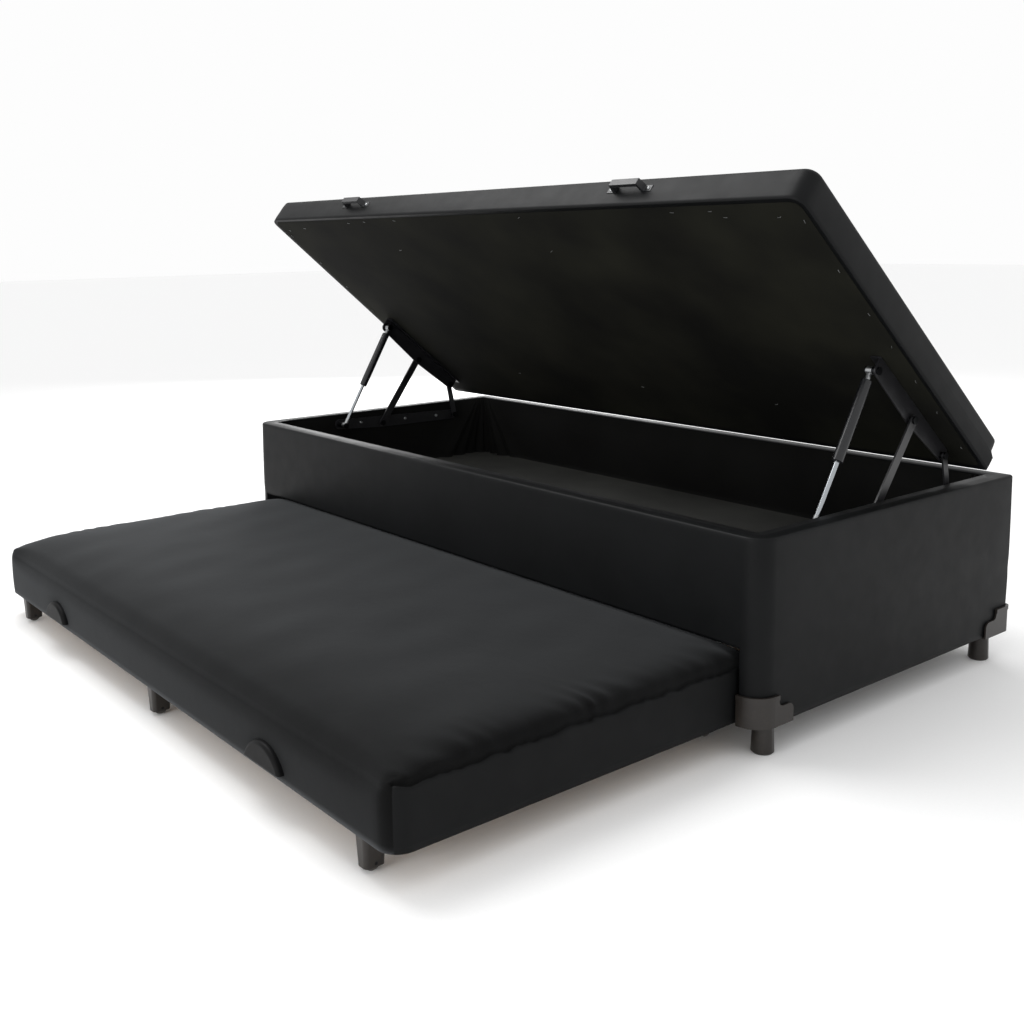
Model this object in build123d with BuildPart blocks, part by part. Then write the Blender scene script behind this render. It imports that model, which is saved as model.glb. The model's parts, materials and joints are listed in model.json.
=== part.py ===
from build123d import *
from math import atan2, cos, degrees, hypot, radians, sin, sqrt
import os

os.makedirs("parts", exist_ok=True)

# A single box bed with a storage well under a lift-up lid, and a low trundle bed that rolls out
# of its front. Millimetres. +X runs along the bed, the trundle rolls out towards -Y and the
# floor is Z = 0. The origin is on the floor, midway between the guards at the back of the box
# and the pulls on the front of the rolled-out trundle. The lid is open and the trundle is out.

# Box
BED_LENGTH = 1880
BED_WIDTH = 880
BOX_HEIGHT = 355
FOOT_HEIGHT = 65
WALL = 39
SKIN = 6
RIM = 3
RIM_ROUND = 5
FRONT_CORNER = 44
REAR_CORNER = 12
CORNER_LAND = 1
JAMB_LINING = 2
TOUCH = 0.05

# Storage floor
BAY_HEIGHT = 148
LEDGE_WIDTH = 20
LEDGE_HEIGHT = 14
BEARER_WIDTH = 70
BEARER_COUNT = 4
FLOOR_BOARD = 8
FLOOR_GAP = 1

# Liner
LINER_GAP = 0.4
LINER = 1.5
LINER_DROP = 4
FOLD_REACH = 180
FOLD_REACH_TOP = 80
FOLD_DEPTH = 14
FOLD_DEPTH_TOP = 3
FOLDS = 3

# Feet and corner guards
FOOT_RADIUS = 20
FOOT_FLARE = 2
FOOT_BEVEL = 3
FOOT_INSET_X = 33
FOOT_INSET_Y = 57
STUD_RADIUS = 4
STUD_IN_PANEL = 32
STUD_IN_FOOT = 24
GUARD_WALL = 4
GUARD_HEIGHT = 57
GUARD_REACH = 98
GUARD_SHOULDER = 56
GUARD_EAR = 34
GUARD_EAR_ROUND = 14
GUARD_BAND = 9
GUARD_BAND_PROUD = 1.5
GUARD_SOLE = 3
GUARD_SOLE_WIDTH = 49

# Lid
LID_THICKNESS = 73
LID_OPENING = 40.1
LID_FORWARD = 129
LID_RAISE = 27
LID_SEAT_GAP = 1
LID_SKIN = 4
LID_HEM = 10
LID_HEM_SKIN = 2
LID_FRONT_CORNER = 30
LID_REAR_CORNER = 22
LID_TOP_ROUND = 14
LID_EDGE_ROUND = 3
LID_PAD = 12
LID_DECK = 6
LID_RAIL_WIDTH = 60
LID_BAR_WIDTH = 45
LID_BAR_COUNT = 4
LINING_GAP = 0.4
LINING = 1.2

# Lid handles
HANDLE_CENTRE = 510
HANDLE_WIDTH = 122
HANDLE_EAR = 18
HANDLE_EAR_PLATE = 4
HANDLE_RISE = 26
HANDLE_SLOPE = 5
HANDLE_GRIP = 8
HANDLE_BREADTH = 15
HANDLE_HEIGHT = 40
HANDLE_ROUND = 1.5

# Lift linkage, as seen from the side
ARM_LENGTH = 236
LINK_LENGTH = 105
ARM_ALONG = 228
ARM_BELOW = 32
LINK_ALONG = 75
LINK_BELOW = 21
STRUT_ALONG = 394
STRUT_BELOW = 26
STRUT_FOOT_AHEAD = 180
STRUT_FOOT_BELOW = 30
ARM_BREADTH = 22
LINK_BREADTH = 17
PLATE_MARGIN = 15
WEB_MARGIN = 13
PIN_RADIUS = 5
PIN_CLEARANCE = 0.05
PIN_HEAD_RADIUS = 8.5
PIN_HEAD = 3

# Lift linkage, across the bed
PLATE = 3
SPACER = 4.4
SPACER_RADIUS = 8
ARM = 4
PLAY = 0.3
OPEN_GAP = 0.4
WEB_FLANGE = 24
STRUT_OFFSET = 15

# Gas struts
TUBE_RADIUS = 11
TUBE_WALL = 2
TUBE_LENGTH = 180
TUBE_END = 10
TUBE_BEVEL = 2
ROD_RADIUS = 5
ROD_INSIDE = 34
ROD_CLEARANCE = 0.1
PISTON = 10
SOCKET_LENGTH = 22
SOCKET_RADIUS = 9
SOCKET_WIDTH = 13
SOCKET_NECK = 5.8

# Trundle
TRUNDLE_END_GAP = 53
TRUNDLE_REAR_GAP = 15
TRUNDLE_STAYS_IN = 55
TRUNDLE_LIFT = 64
TRUNDLE_SIDE = 108
TRUNDLE_CROWN = 36
TRUNDLE_FRONT_CORNER = 40
TRUNDLE_REAR_CORNER = 24
BAND_SKIN = 4
BAND_HEM = 22
BAND_HEM_SKIN = 2
TRUNDLE_RAIL_HEIGHT = 62
TRUNDLE_RAIL_WIDTH = 40
TRUNDLE_SLAT_WIDTH = 70
TRUNDLE_SLAT_HEIGHT = 18
TRUNDLE_SLAT_COUNT = 6
TRUNDLE_DECK = 6
TOP_SKIN = 2.5
SOFT_GAP = 0.4

# Cup pulls
PULL_CENTRE = 510
PULL_WIDTH = 126
PULL_HEIGHT = 40
PULL_PROUD = 12
PULL_RAISE = 17
PULL_WALL = 2.5
PULL_ROUND = 7

# Casters
CASTER_END_INSET = 97
CASTER_FACE_INSET = 27
HOOD_WIDTH = 32
HOOD_DEPTH = 42
HOOD_TAPER = 2.5
HOOD_GROUND_GAP = 9
HOOD_ROUND = 8
WHEEL_RADIUS = 15
WHEEL_WIDTH = 13
WHEEL_BEVEL = 1.5
WHEEL_GAP = 1.5
AXLE_RADIUS = 3

# Shares of the size that each follows
CROWN_INSET_SHARES = (0, 0.004, 0.016, 0.055, 0.17)
CROWN_RISE_SHARES = (0, 0.36, 0.68, 0.88, 1)

SIDES = ((-1, "left"), (1, "right"))

# Places and sizes worked out from the sizes above
TRUNDLE_LENGTH = BED_LENGTH - 2 * TRUNDLE_END_GAP
TRUNDLE_DEPTH = BED_WIDTH - SKIN - WALL - TRUNDLE_REAR_GAP
TRUNDLE_TRAVEL = TRUNDLE_DEPTH - TRUNDLE_STAYS_IN
BOX_Y = (TRUNDLE_TRAVEL + PULL_PROUD - GUARD_WALL - GUARD_BAND_PROUD) / 2
BOX_TOP = FOOT_HEIGHT + BOX_HEIGHT
BOX_FRONT = BOX_Y - BED_WIDTH / 2
BOX_BACK = BOX_Y + BED_WIDTH / 2
PANEL_X = BED_LENGTH / 2 - SKIN
PANEL_Y = BED_WIDTH / 2 - SKIN
WELL_X = PANEL_X - WALL
WELL_Y = PANEL_Y - WALL
PANEL_CORNER = min(FRONT_CORNER - SKIN, WALL - CORNER_LAND)
PANEL_REAR_CORNER = min(REAR_CORNER - SKIN, WALL - CORNER_LAND)
PANEL_TOP = BOX_TOP - RIM
BAY_TOP = FOOT_HEIGHT + BAY_HEIGHT
LEDGE_TOP = BAY_TOP + LEDGE_HEIGHT
LINER_BOTTOM = LEDGE_TOP + FLOOR_BOARD + LINER_GAP
LINER_TOP = BOX_TOP - LINER_DROP
FOOT_X = BED_LENGTH / 2 - FOOT_INSET_X
FOOT_Y = BED_WIDTH / 2 - FOOT_INSET_Y
FOOT_TOP = FOOT_HEIGHT - GUARD_SOLE
TRUNDLE_FRONT = BOX_FRONT - TRUNDLE_TRAVEL
TRUNDLE_Y = TRUNDLE_FRONT + TRUNDLE_DEPTH / 2
CLOSED_EDGE = (BOX_BACK, BOX_TOP + LID_SEAT_GAP)
OPEN_EDGE = (BOX_BACK - LID_FORWARD, BOX_TOP + LID_SEAT_GAP + LID_RAISE)


def on_lid(edge, opening, along, below):
    """A point of the side view, measured on the lid from its lower rear edge."""
    tilt = radians(opening)
    y = edge[0] - along * cos(tilt) - below * sin(tilt)
    z = edge[1] + along * sin(tilt) - below * cos(tilt)
    return y, z


def fixed_pivot(opened, closed, reach):
    """The pivot on the box that stands one reach from both ends of a lid pivot's path."""
    dy = closed[0] - opened[0]
    dz = closed[1] - opened[1]
    chord = hypot(dy, dz)
    drop = sqrt(reach**2 - (chord / 2) ** 2) / chord
    return opened[0] + dy / 2 + dz * drop, opened[1] + dz / 2 - dy * drop


def distance(start, end):
    """The length of a line of the side view."""
    return hypot(end[0] - start[0], end[1] - start[1])


ARM_HEAD = on_lid(OPEN_EDGE, LID_OPENING, ARM_ALONG, ARM_BELOW)
LINK_HEAD = on_lid(OPEN_EDGE, LID_OPENING, LINK_ALONG, LINK_BELOW)
STRUT_HEAD = on_lid(OPEN_EDGE, LID_OPENING, STRUT_ALONG, STRUT_BELOW)
ARM_FOOT = fixed_pivot(ARM_HEAD, on_lid(CLOSED_EDGE, 0, ARM_ALONG, ARM_BELOW), ARM_LENGTH)
LINK_FOOT = fixed_pivot(LINK_HEAD, on_lid(CLOSED_EDGE, 0, LINK_ALONG, LINK_BELOW), LINK_LENGTH)
STRUT_FOOT = (BOX_Y - STRUT_FOOT_AHEAD, BOX_TOP - STRUT_FOOT_BELOW)
STRUT_REACH = distance(STRUT_FOOT, STRUT_HEAD)

# Distances in from the bed's ends to each layer of the lift linkage
PLATE_FACE = SKIN + WALL + LINER_GAP + LINER + LINER_GAP
ARM_FACE = PLATE_FACE + PLATE + SPACER + PLAY
WEB_FACE = ARM_FACE + ARM + PLAY + SPACER
STRUT_AXIS = WEB_FACE + PLATE + STRUT_OFFSET

# The lid's own frame: its X and Y lie in the middle of its underside, its Z points through it
LID_MIDDLE = on_lid(OPEN_EDGE, LID_OPENING, BED_WIDTH / 2, 0)
LID_PLANE = Plane(
    origin=(0, LID_MIDDLE[0], LID_MIDDLE[1]),
    x_dir=(1, 0, 0),
    z_dir=(0, sin(radians(LID_OPENING)), cos(radians(LID_OPENING))),
)
LID_AXIS = Axis(LID_PLANE.origin, LID_PLANE.z_dir)


def level(centre_y, height):
    """A level plane at one height, centred on a line across the bed."""
    return Plane(origin=(0, centre_y, height), z_dir=(0, 0, 1))


def layer(side, inset):
    """A side-view plane, one distance in from an end of the bed."""
    return Plane.YZ.offset(side * (BED_LENGTH / 2 - inset))


def rounded(width, depth, front_radius, rear_radius):
    """A plan outline whose front and rear corners are rounded apart."""
    Rectangle(width, depth)
    fillet(vertices().group_by(Axis.Y)[0], front_radius)
    fillet(vertices().group_by(Axis.Y)[-1], rear_radius)


# Timber panels of the box

for side, hand in SIDES:
    with BuildPart() as end_panel:
        with BuildSketch(level(BOX_Y, FOOT_HEIGHT)):
            rounded(2 * PANEL_X, 2 * PANEL_Y, PANEL_CORNER, PANEL_REAR_CORNER)
            with Locations((side * (PANEL_X - WALL / 2), 0)):
                Rectangle(WALL, 2 * PANEL_Y, mode=Mode.INTERSECT)
        extrude(amount=PANEL_TOP - FOOT_HEIGHT)
        with BuildSketch(level(BOX_Y, FOOT_HEIGHT)):
            with Locations((side * FOOT_X, FOOT_Y), (side * FOOT_X, -FOOT_Y)):
                Circle(STUD_RADIUS + PIN_CLEARANCE)
        extrude(amount=STUD_IN_PANEL, mode=Mode.SUBTRACT)
    end_panel.part.label = f"end_panel_{hand}"
    export_step(end_panel.part, f"parts/end_panel_{hand}.step")

with BuildPart() as front_panel:
    with BuildSketch(level(BOX_Y - PANEL_Y + WALL / 2, BAY_TOP)):
        Rectangle(2 * WELL_X, WALL)
    extrude(amount=PANEL_TOP - BAY_TOP)
front_panel.part.label = "front_panel"
export_step(front_panel.part, "parts/front_panel.step")

with BuildPart() as back_panel:
    with BuildSketch(level(BOX_Y + PANEL_Y - WALL / 2, FOOT_HEIGHT)):
        Rectangle(2 * WELL_X, WALL)
    extrude(amount=PANEL_TOP - FOOT_HEIGHT)
back_panel.part.label = "back_panel"
export_step(back_panel.part, "parts/back_panel.step")

# Padded cover of the box, with its rim and the lined opening for the trundle

with BuildPart() as box_cover:
    with BuildSketch(level(BOX_Y, FOOT_HEIGHT)):
        rounded(BED_LENGTH, BED_WIDTH, FRONT_CORNER, REAR_CORNER)
    extrude(amount=BOX_HEIGHT)
    fillet(faces().sort_by(Axis.Z)[-1].edges(), RIM_ROUND)
    with BuildSketch(level(BOX_Y, FOOT_HEIGHT)):
        rounded(2 * PANEL_X, 2 * PANEL_Y, PANEL_CORNER, PANEL_REAR_CORNER)
    extrude(amount=BOX_HEIGHT - RIM, mode=Mode.SUBTRACT)
    with BuildSketch(level(BOX_Y, FOOT_HEIGHT)):
        Rectangle(2 * WELL_X, 2 * WELL_Y)
    extrude(amount=BOX_HEIGHT, mode=Mode.SUBTRACT)
    with BuildSketch(level(BOX_FRONT, FOOT_HEIGHT)):
        Rectangle(2 * WELL_X, 2 * SKIN)
    extrude(amount=BAY_HEIGHT, mode=Mode.SUBTRACT)
    with BuildSketch(level(BOX_FRONT + (SKIN + WALL) / 2, BAY_TOP - RIM)):
        Rectangle(2 * WELL_X, SKIN + WALL)
    extrude(amount=RIM)
    with BuildSketch(level(BOX_FRONT + (SKIN + WALL) / 2, FOOT_HEIGHT)):
        with Locations((WELL_X - JAMB_LINING / 2, 0), (JAMB_LINING / 2 - WELL_X, 0)):
            Rectangle(JAMB_LINING, SKIN + WALL)
    extrude(amount=BAY_HEIGHT)
box_cover.part.label = "box_cover"
export_step(box_cover.part, "parts/box_cover.step")

# Storage floor: ledges round the walls, bearers across them, and a board on top

with BuildPart() as floor_ledges:
    with BuildSketch(level(BOX_Y, BAY_TOP)):
        with Locations((0, WELL_Y - LEDGE_WIDTH / 2), (0, LEDGE_WIDTH / 2 - WELL_Y)):
            Rectangle(2 * WELL_X, LEDGE_WIDTH)
        with Locations((WELL_X - LEDGE_WIDTH / 2, 0), (LEDGE_WIDTH / 2 - WELL_X, 0)):
            Rectangle(LEDGE_WIDTH, 2 * (WELL_Y - LEDGE_WIDTH - TOUCH))
    extrude(amount=LEDGE_HEIGHT)
floor_ledges.part.label = "floor_ledges"
export_step(floor_ledges.part, "parts/floor_ledges.step")

with BuildPart() as floor_bearers:
    with BuildSketch(level(BOX_Y, BAY_TOP)):
        with GridLocations(2 * WELL_X / BEARER_COUNT, 0, BEARER_COUNT, 1):
            Rectangle(BEARER_WIDTH, 2 * (WELL_Y - LEDGE_WIDTH))
    extrude(amount=LEDGE_HEIGHT)
floor_bearers.part.label = "floor_bearers"
export_step(floor_bearers.part, "parts/floor_bearers.step")

with BuildPart() as storage_floor:
    with BuildSketch(level(BOX_Y, LEDGE_TOP)):
        Rectangle(2 * (WELL_X - FLOOR_GAP), 2 * (WELL_Y - FLOOR_GAP))
    extrude(amount=FLOOR_BOARD)
storage_floor.part.label = "storage_floor"
export_step(storage_floor.part, "parts/storage_floor.step")

# Cloth liner of the storage well, gathered in folds at its two rear corners


def swag(start, end, depth):
    """One arc of cloth between two pins, bellied to the left of its run."""
    run = Vector(end[0] - start[0], end[1] - start[1])
    middle = (Vector(*start) + Vector(*end)) / 2
    ThreePointArc(start, middle + Vector(-run.Y, run.X).normalized() * depth, end)


def liner_outline(inset, reach, depth):
    """The liner's plan at one height, anticlockwise from its front left corner."""
    half_x = WELL_X - inset
    half_y = WELL_Y - inset
    pitch = reach / (FOLDS + 1)
    along = [reach - pitch * index for index in range(FOLDS + 1)]
    pins = [(half_x, WELL_Y - far) for far in along]
    pins += [(WELL_X - far, half_y) for far in reversed(along)]
    mirrored = [(-x, y) for x, y in reversed(pins)]
    with BuildLine() as outline:
        Polyline(mirrored[-1], (-half_x, -half_y), (half_x, -half_y), pins[0])
        for start, end in zip(pins, pins[1:]):
            swag(start, end, depth)
        Line(pins[-1], mirrored[0])
        for start, end in zip(mirrored, mirrored[1:]):
            swag(start, end, depth)
    make_face(outline.edges())


def liner_loft(inset, mode):
    """The liner's whole height as one solid, with its folds drawn in towards the top."""
    with BuildSketch(level(BOX_Y, LINER_BOTTOM)) as low:
        liner_outline(inset, FOLD_REACH, FOLD_DEPTH)
    with BuildSketch(level(BOX_Y, LINER_TOP)) as high:
        liner_outline(inset, FOLD_REACH_TOP, FOLD_DEPTH_TOP)
    loft(sections=[low.sketch, high.sketch], ruled=True, mode=mode)


with BuildPart() as storage_liner:
    liner_loft(LINER_GAP, Mode.ADD)
    liner_loft(LINER_GAP + LINER, Mode.SUBTRACT)
    with BuildSketch(level(BOX_Y, LINER_BOTTOM)):
        liner_outline(LINER_GAP, FOLD_REACH, FOLD_DEPTH)
    extrude(amount=LINER)
storage_liner.part.label = "storage_liner"
export_step(storage_liner.part, "parts/storage_liner.step")

# Moulded guards round the four base corners, with the feet bolted up through their soles


def guard_ring(grow):
    """The plan of all four guards: between the cover and an outline grown round it."""
    rounded(
        BED_LENGTH + 2 * grow, BED_WIDTH + 2 * grow, FRONT_CORNER + grow, REAR_CORNER + grow
    )
    with BuildSketch(mode=Mode.PRIVATE) as inside:
        rounded(BED_LENGTH, BED_WIDTH, FRONT_CORNER, REAR_CORNER)
    add(inside.sketch_local, mode=Mode.SUBTRACT)


def corner_squares(reach):
    """Keeps only what lies near the four corners, and clear of the trundle's opening."""
    far_x = BED_LENGTH / 2 + GUARD_REACH
    far_y = BED_WIDTH / 2 + GUARD_REACH
    with BuildSketch(mode=Mode.PRIVATE) as squares:
        for side, _ in SIDES:
            for end in (-1, 1):
                near_x = BED_LENGTH / 2 - (reach if end > 0 else min(reach, GUARD_SOLE_WIDTH))
                near_y = BED_WIDTH / 2 - GUARD_REACH
                with Locations((side * (near_x + far_x) / 2, end * (near_y + far_y) / 2)):
                    Rectangle(far_x - near_x, far_y - near_y)
    add(squares.sketch_local, mode=Mode.INTERSECT)


def ear_cut(half_span):
    """The side view above each guard's ears, between the tall shoulders of two corners."""
    ear_top = FOOT_HEIGHT + GUARD_EAR
    top = FOOT_HEIGHT + GUARD_HEIGHT
    shoulder = half_span - GUARD_SHOULDER
    ear_end = half_span - GUARD_REACH
    with BuildSketch(mode=Mode.PRIVATE) as above:
        with Locations((0, (ear_top + top) / 2)):
            Rectangle(2 * shoulder, top - ear_top)
        fillet(vertices().group_by(Axis.Y)[0], (top - ear_top) / 2)
        with Locations((0, ear_top - GUARD_EAR_ROUND / 2)):
            Rectangle(2 * (ear_end + GUARD_EAR_ROUND), GUARD_EAR_ROUND)
        with Locations(
            (ear_end + GUARD_EAR_ROUND, ear_top - GUARD_EAR_ROUND),
            (-ear_end - GUARD_EAR_ROUND, ear_top - GUARD_EAR_ROUND),
        ):
            Circle(GUARD_EAR_ROUND, mode=Mode.SUBTRACT)
    add(above.sketch_local)


with BuildPart() as corner_guards:
    with BuildSketch(level(BOX_Y, FOOT_HEIGHT)):
        guard_ring(GUARD_WALL)
        corner_squares(GUARD_REACH)
    extrude(amount=GUARD_HEIGHT)
    with BuildSketch(level(BOX_Y, FOOT_HEIGHT + GUARD_HEIGHT - GUARD_BAND)):
        guard_ring(GUARD_WALL + GUARD_BAND_PROUD)
        corner_squares(GUARD_REACH)
    extrude(amount=GUARD_BAND)
    with BuildSketch(Plane(origin=(0, BOX_Y, 0), x_dir=(0, 1, 0), z_dir=(1, 0, 0))):
        ear_cut(BED_WIDTH / 2)
    extrude(amount=BED_LENGTH / 2 + GUARD_REACH, both=True, mode=Mode.SUBTRACT)
    with BuildSketch(Plane(origin=(0, BOX_Y, 0), x_dir=(1, 0, 0), z_dir=(0, -1, 0))):
        ear_cut(BED_LENGTH / 2)
    extrude(amount=BED_WIDTH / 2 + GUARD_REACH, both=True, mode=Mode.SUBTRACT)
    with BuildSketch(level(BOX_Y, FOOT_TOP)):
        rounded(
            BED_LENGTH + 2 * GUARD_WALL,
            BED_WIDTH + 2 * GUARD_WALL,
            FRONT_CORNER + GUARD_WALL,
            REAR_CORNER + GUARD_WALL,
        )
        corner_squares(GUARD_SOLE_WIDTH)
        with GridLocations(2 * FOOT_X, 2 * FOOT_Y, 2, 2):
            Circle(STUD_RADIUS + PIN_CLEARANCE, mode=Mode.SUBTRACT)
    extrude(amount=GUARD_SOLE)
corner_guards.part.label = "corner_guards"
export_step(corner_guards.part, "parts/corner_guards.step")

with BuildPart() as box_feet:
    for spot in GridLocations(2 * FOOT_X, 2 * FOOT_Y, 2, 2):
        centre = spot.position + Vector(0, BOX_Y)
        with BuildSketch(Plane(origin=centre, z_dir=(0, 0, 1))):
            Circle(FOOT_RADIUS + FOOT_FLARE)
        with BuildSketch(Plane(origin=centre + Vector(0, 0, FOOT_TOP), z_dir=(0, 0, 1))):
            Circle(FOOT_RADIUS)
        loft(ruled=True)
    chamfer(faces().group_by(Axis.Z)[0].edges(), FOOT_BEVEL)
    with BuildSketch(level(BOX_Y, FOOT_TOP)):
        with GridLocations(2 * FOOT_X, 2 * FOOT_Y, 2, 2):
            Circle(STUD_RADIUS + PIN_CLEARANCE)
    extrude(amount=-STUD_IN_FOOT, mode=Mode.SUBTRACT)
box_feet.part.label = "box_feet"
export_step(box_feet.part, "parts/box_feet.step")

with BuildPart() as foot_studs:
    with BuildSketch(level(BOX_Y, FOOT_TOP - STUD_IN_FOOT)):
        with GridLocations(2 * FOOT_X, 2 * FOOT_Y, 2, 2):
            Circle(STUD_RADIUS)
    extrude(amount=STUD_IN_FOOT + GUARD_SOLE + STUD_IN_PANEL)
foot_studs.part.label = "foot_studs"
export_step(foot_studs.part, "parts/foot_studs.step")

# Lid: a shallow padded cover, open underneath, over a timber frame and a deck

LID_PAD_ROUND = min(LID_TOP_ROUND - LID_SKIN, LID_PAD - 2 * SOFT_GAP)
LID_RAIL_HEIGHT = LID_THICKNESS - LID_SKIN - LID_PAD - LID_DECK - LID_HEM_SKIN
LID_BAR_LENGTH = BED_WIDTH - 2 * (LID_SKIN + LID_RAIL_WIDTH)


def lid_outline(inset):
    """The lid's plan, drawn in by one distance."""
    rounded(
        BED_LENGTH - 2 * inset,
        BED_WIDTH - 2 * inset,
        LID_FRONT_CORNER - inset,
        LID_REAR_CORNER - inset,
    )


with BuildPart() as lid_cover:
    with BuildSketch(LID_PLANE):
        lid_outline(0)
    extrude(amount=LID_THICKNESS)
    fillet(faces().sort_by(LID_AXIS)[-1].edges(), LID_PAD_ROUND + LID_SKIN)
    offset(amount=-LID_SKIN, openings=faces().sort_by(LID_AXIS)[0])
    with BuildSketch(LID_PLANE):
        lid_outline(LID_SKIN / 2)
    extrude(amount=LID_HEM_SKIN)
    with BuildSketch(LID_PLANE):
        lid_outline(LID_HEM)
    extrude(amount=LID_HEM_SKIN, mode=Mode.SUBTRACT)
    fillet(faces().sort_by(LID_AXIS)[0].outer_wire().edges(), LID_EDGE_ROUND)
lid_cover.part.label = "lid_cover"
export_step(lid_cover.part, "parts/lid_cover.step")

with BuildPart() as lid_side_rails:
    with BuildSketch(LID_PLANE.offset(LID_HEM_SKIN)):
        lid_outline(LID_SKIN + TOUCH)
        Rectangle(BED_LENGTH, LID_BAR_LENGTH, mode=Mode.SUBTRACT)
    extrude(amount=LID_RAIL_HEIGHT)
lid_side_rails.part.label = "lid_side_rails"
export_step(lid_side_rails.part, "parts/lid_side_rails.step")

with BuildPart() as lid_cross_rails:
    with BuildSketch(LID_PLANE.offset(LID_HEM_SKIN)):
        with GridLocations(BED_LENGTH - 2 * LID_SKIN - LID_RAIL_WIDTH, 0, 2, 1):
            Rectangle(LID_RAIL_WIDTH - 2 * TOUCH, LID_BAR_LENGTH)
        with GridLocations(BED_LENGTH / (LID_BAR_COUNT + 1), 0, LID_BAR_COUNT, 1):
            Rectangle(LID_BAR_WIDTH, LID_BAR_LENGTH)
    extrude(amount=LID_RAIL_HEIGHT)
lid_cross_rails.part.label = "lid_cross_rails"
export_step(lid_cross_rails.part, "parts/lid_cross_rails.step")

with BuildPart() as lid_deck:
    with BuildSketch(LID_PLANE.offset(LID_HEM_SKIN + LID_RAIL_HEIGHT)):
        lid_outline(LID_SKIN + TOUCH)
    extrude(amount=LID_DECK)
lid_deck.part.label = "lid_deck"
export_step(lid_deck.part, "parts/lid_deck.step")

with BuildPart() as lid_pad:
    with BuildSketch(LID_PLANE.offset(LID_THICKNESS - LID_SKIN - LID_PAD)):
        lid_outline(LID_SKIN + SOFT_GAP)
    extrude(amount=LID_PAD - SOFT_GAP)
    fillet(faces().sort_by(LID_AXIS)[-1].edges(), LID_PAD_ROUND)
lid_pad.part.label = "lid_pad"
export_step(lid_pad.part, "parts/lid_pad.step")

with BuildPart() as lid_lining:
    with BuildSketch(LID_PLANE.offset(LINING_GAP)):
        lid_outline(LID_HEM + LINING_GAP)
    extrude(amount=LINING)
lid_lining.part.label = "lid_lining"
export_step(lid_lining.part, "parts/lid_lining.step")

# Bow handles on the lid's front face

for side, hand in SIDES:
    with BuildPart() as lid_handle:
        with BuildSketch(LID_PLANE.offset(HANDLE_HEIGHT - HANDLE_BREADTH / 2)):
            with BuildLine(mode=Mode.PRIVATE) as bow:
                half = HANDLE_WIDTH / 2
                foot = half - HANDLE_EAR
                crest = foot - HANDLE_SLOPE
                Polyline(
                    (half, 0),
                    (half, -HANDLE_EAR_PLATE),
                    (foot, -HANDLE_EAR_PLATE),
                    (crest, -HANDLE_RISE),
                    (-crest, -HANDLE_RISE),
                    (-foot, -HANDLE_EAR_PLATE),
                    (-half, -HANDLE_EAR_PLATE),
                    (-half, 0),
                    (-foot + HANDLE_GRIP, 0),
                    (-crest + HANDLE_GRIP / 2, HANDLE_GRIP - HANDLE_RISE),
                    (crest - HANDLE_GRIP / 2, HANDLE_GRIP - HANDLE_RISE),
                    (foot - HANDLE_GRIP, 0),
                    close=True,
                )
            with Locations((side * HANDLE_CENTRE, -BED_WIDTH / 2)):
                add(make_face(bow.edges(), mode=Mode.PRIVATE))
        extrude(amount=HANDLE_BREADTH)
        fillet(edges().filter_by(LID_AXIS), HANDLE_ROUND)
    lid_handle.part.label = f"lid_handle_{hand}"
    export_step(lid_handle.part, f"parts/lid_handle_{hand}.step")

# Lift linkage: a plate on each end wall, an arm and a link, and a flanged web under the lid


def disc(side, inset, centre, radius, length):
    """A round solid that starts in one layer and runs inward."""
    with BuildSketch(layer(side, inset)) as circle:
        with Locations(centre):
            Circle(radius)
    extrude(circle.sketch, amount=-side * length)


def bar(side, inset, ends, breadth, thickness):
    """A flat bar with round ends and a pin hole at each."""
    with BuildSketch(layer(side, inset)) as outline:
        with Locations(*ends):
            Circle(breadth / 2)
        make_hull()
        with Locations(*ends):
            Circle(PIN_RADIUS + PIN_CLEARANCE, mode=Mode.SUBTRACT)
    extrude(outline.sketch, amount=-side * thickness)


WEB_ENDS = (LINK_ALONG - WEB_MARGIN, STRUT_ALONG + WEB_MARGIN)
WEB_TOP = [Vector(*on_lid(OPEN_EDGE, LID_OPENING, end, 0)) for end in WEB_ENDS]
CUT_ENDS = (LINK_ALONG - 2 * WEB_MARGIN, STRUT_ALONG + 2 * WEB_MARGIN)
CUT_DEPTH = max(ARM_BELOW, LINK_BELOW, STRUT_BELOW) + 2 * WEB_MARGIN
WEB_CUT = [on_lid(OPEN_EDGE, LID_OPENING, end, PLATE) for end in CUT_ENDS]
WEB_CUT += [on_lid(OPEN_EDGE, LID_OPENING, end, CUT_DEPTH) for end in reversed(CUT_ENDS)]

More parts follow.
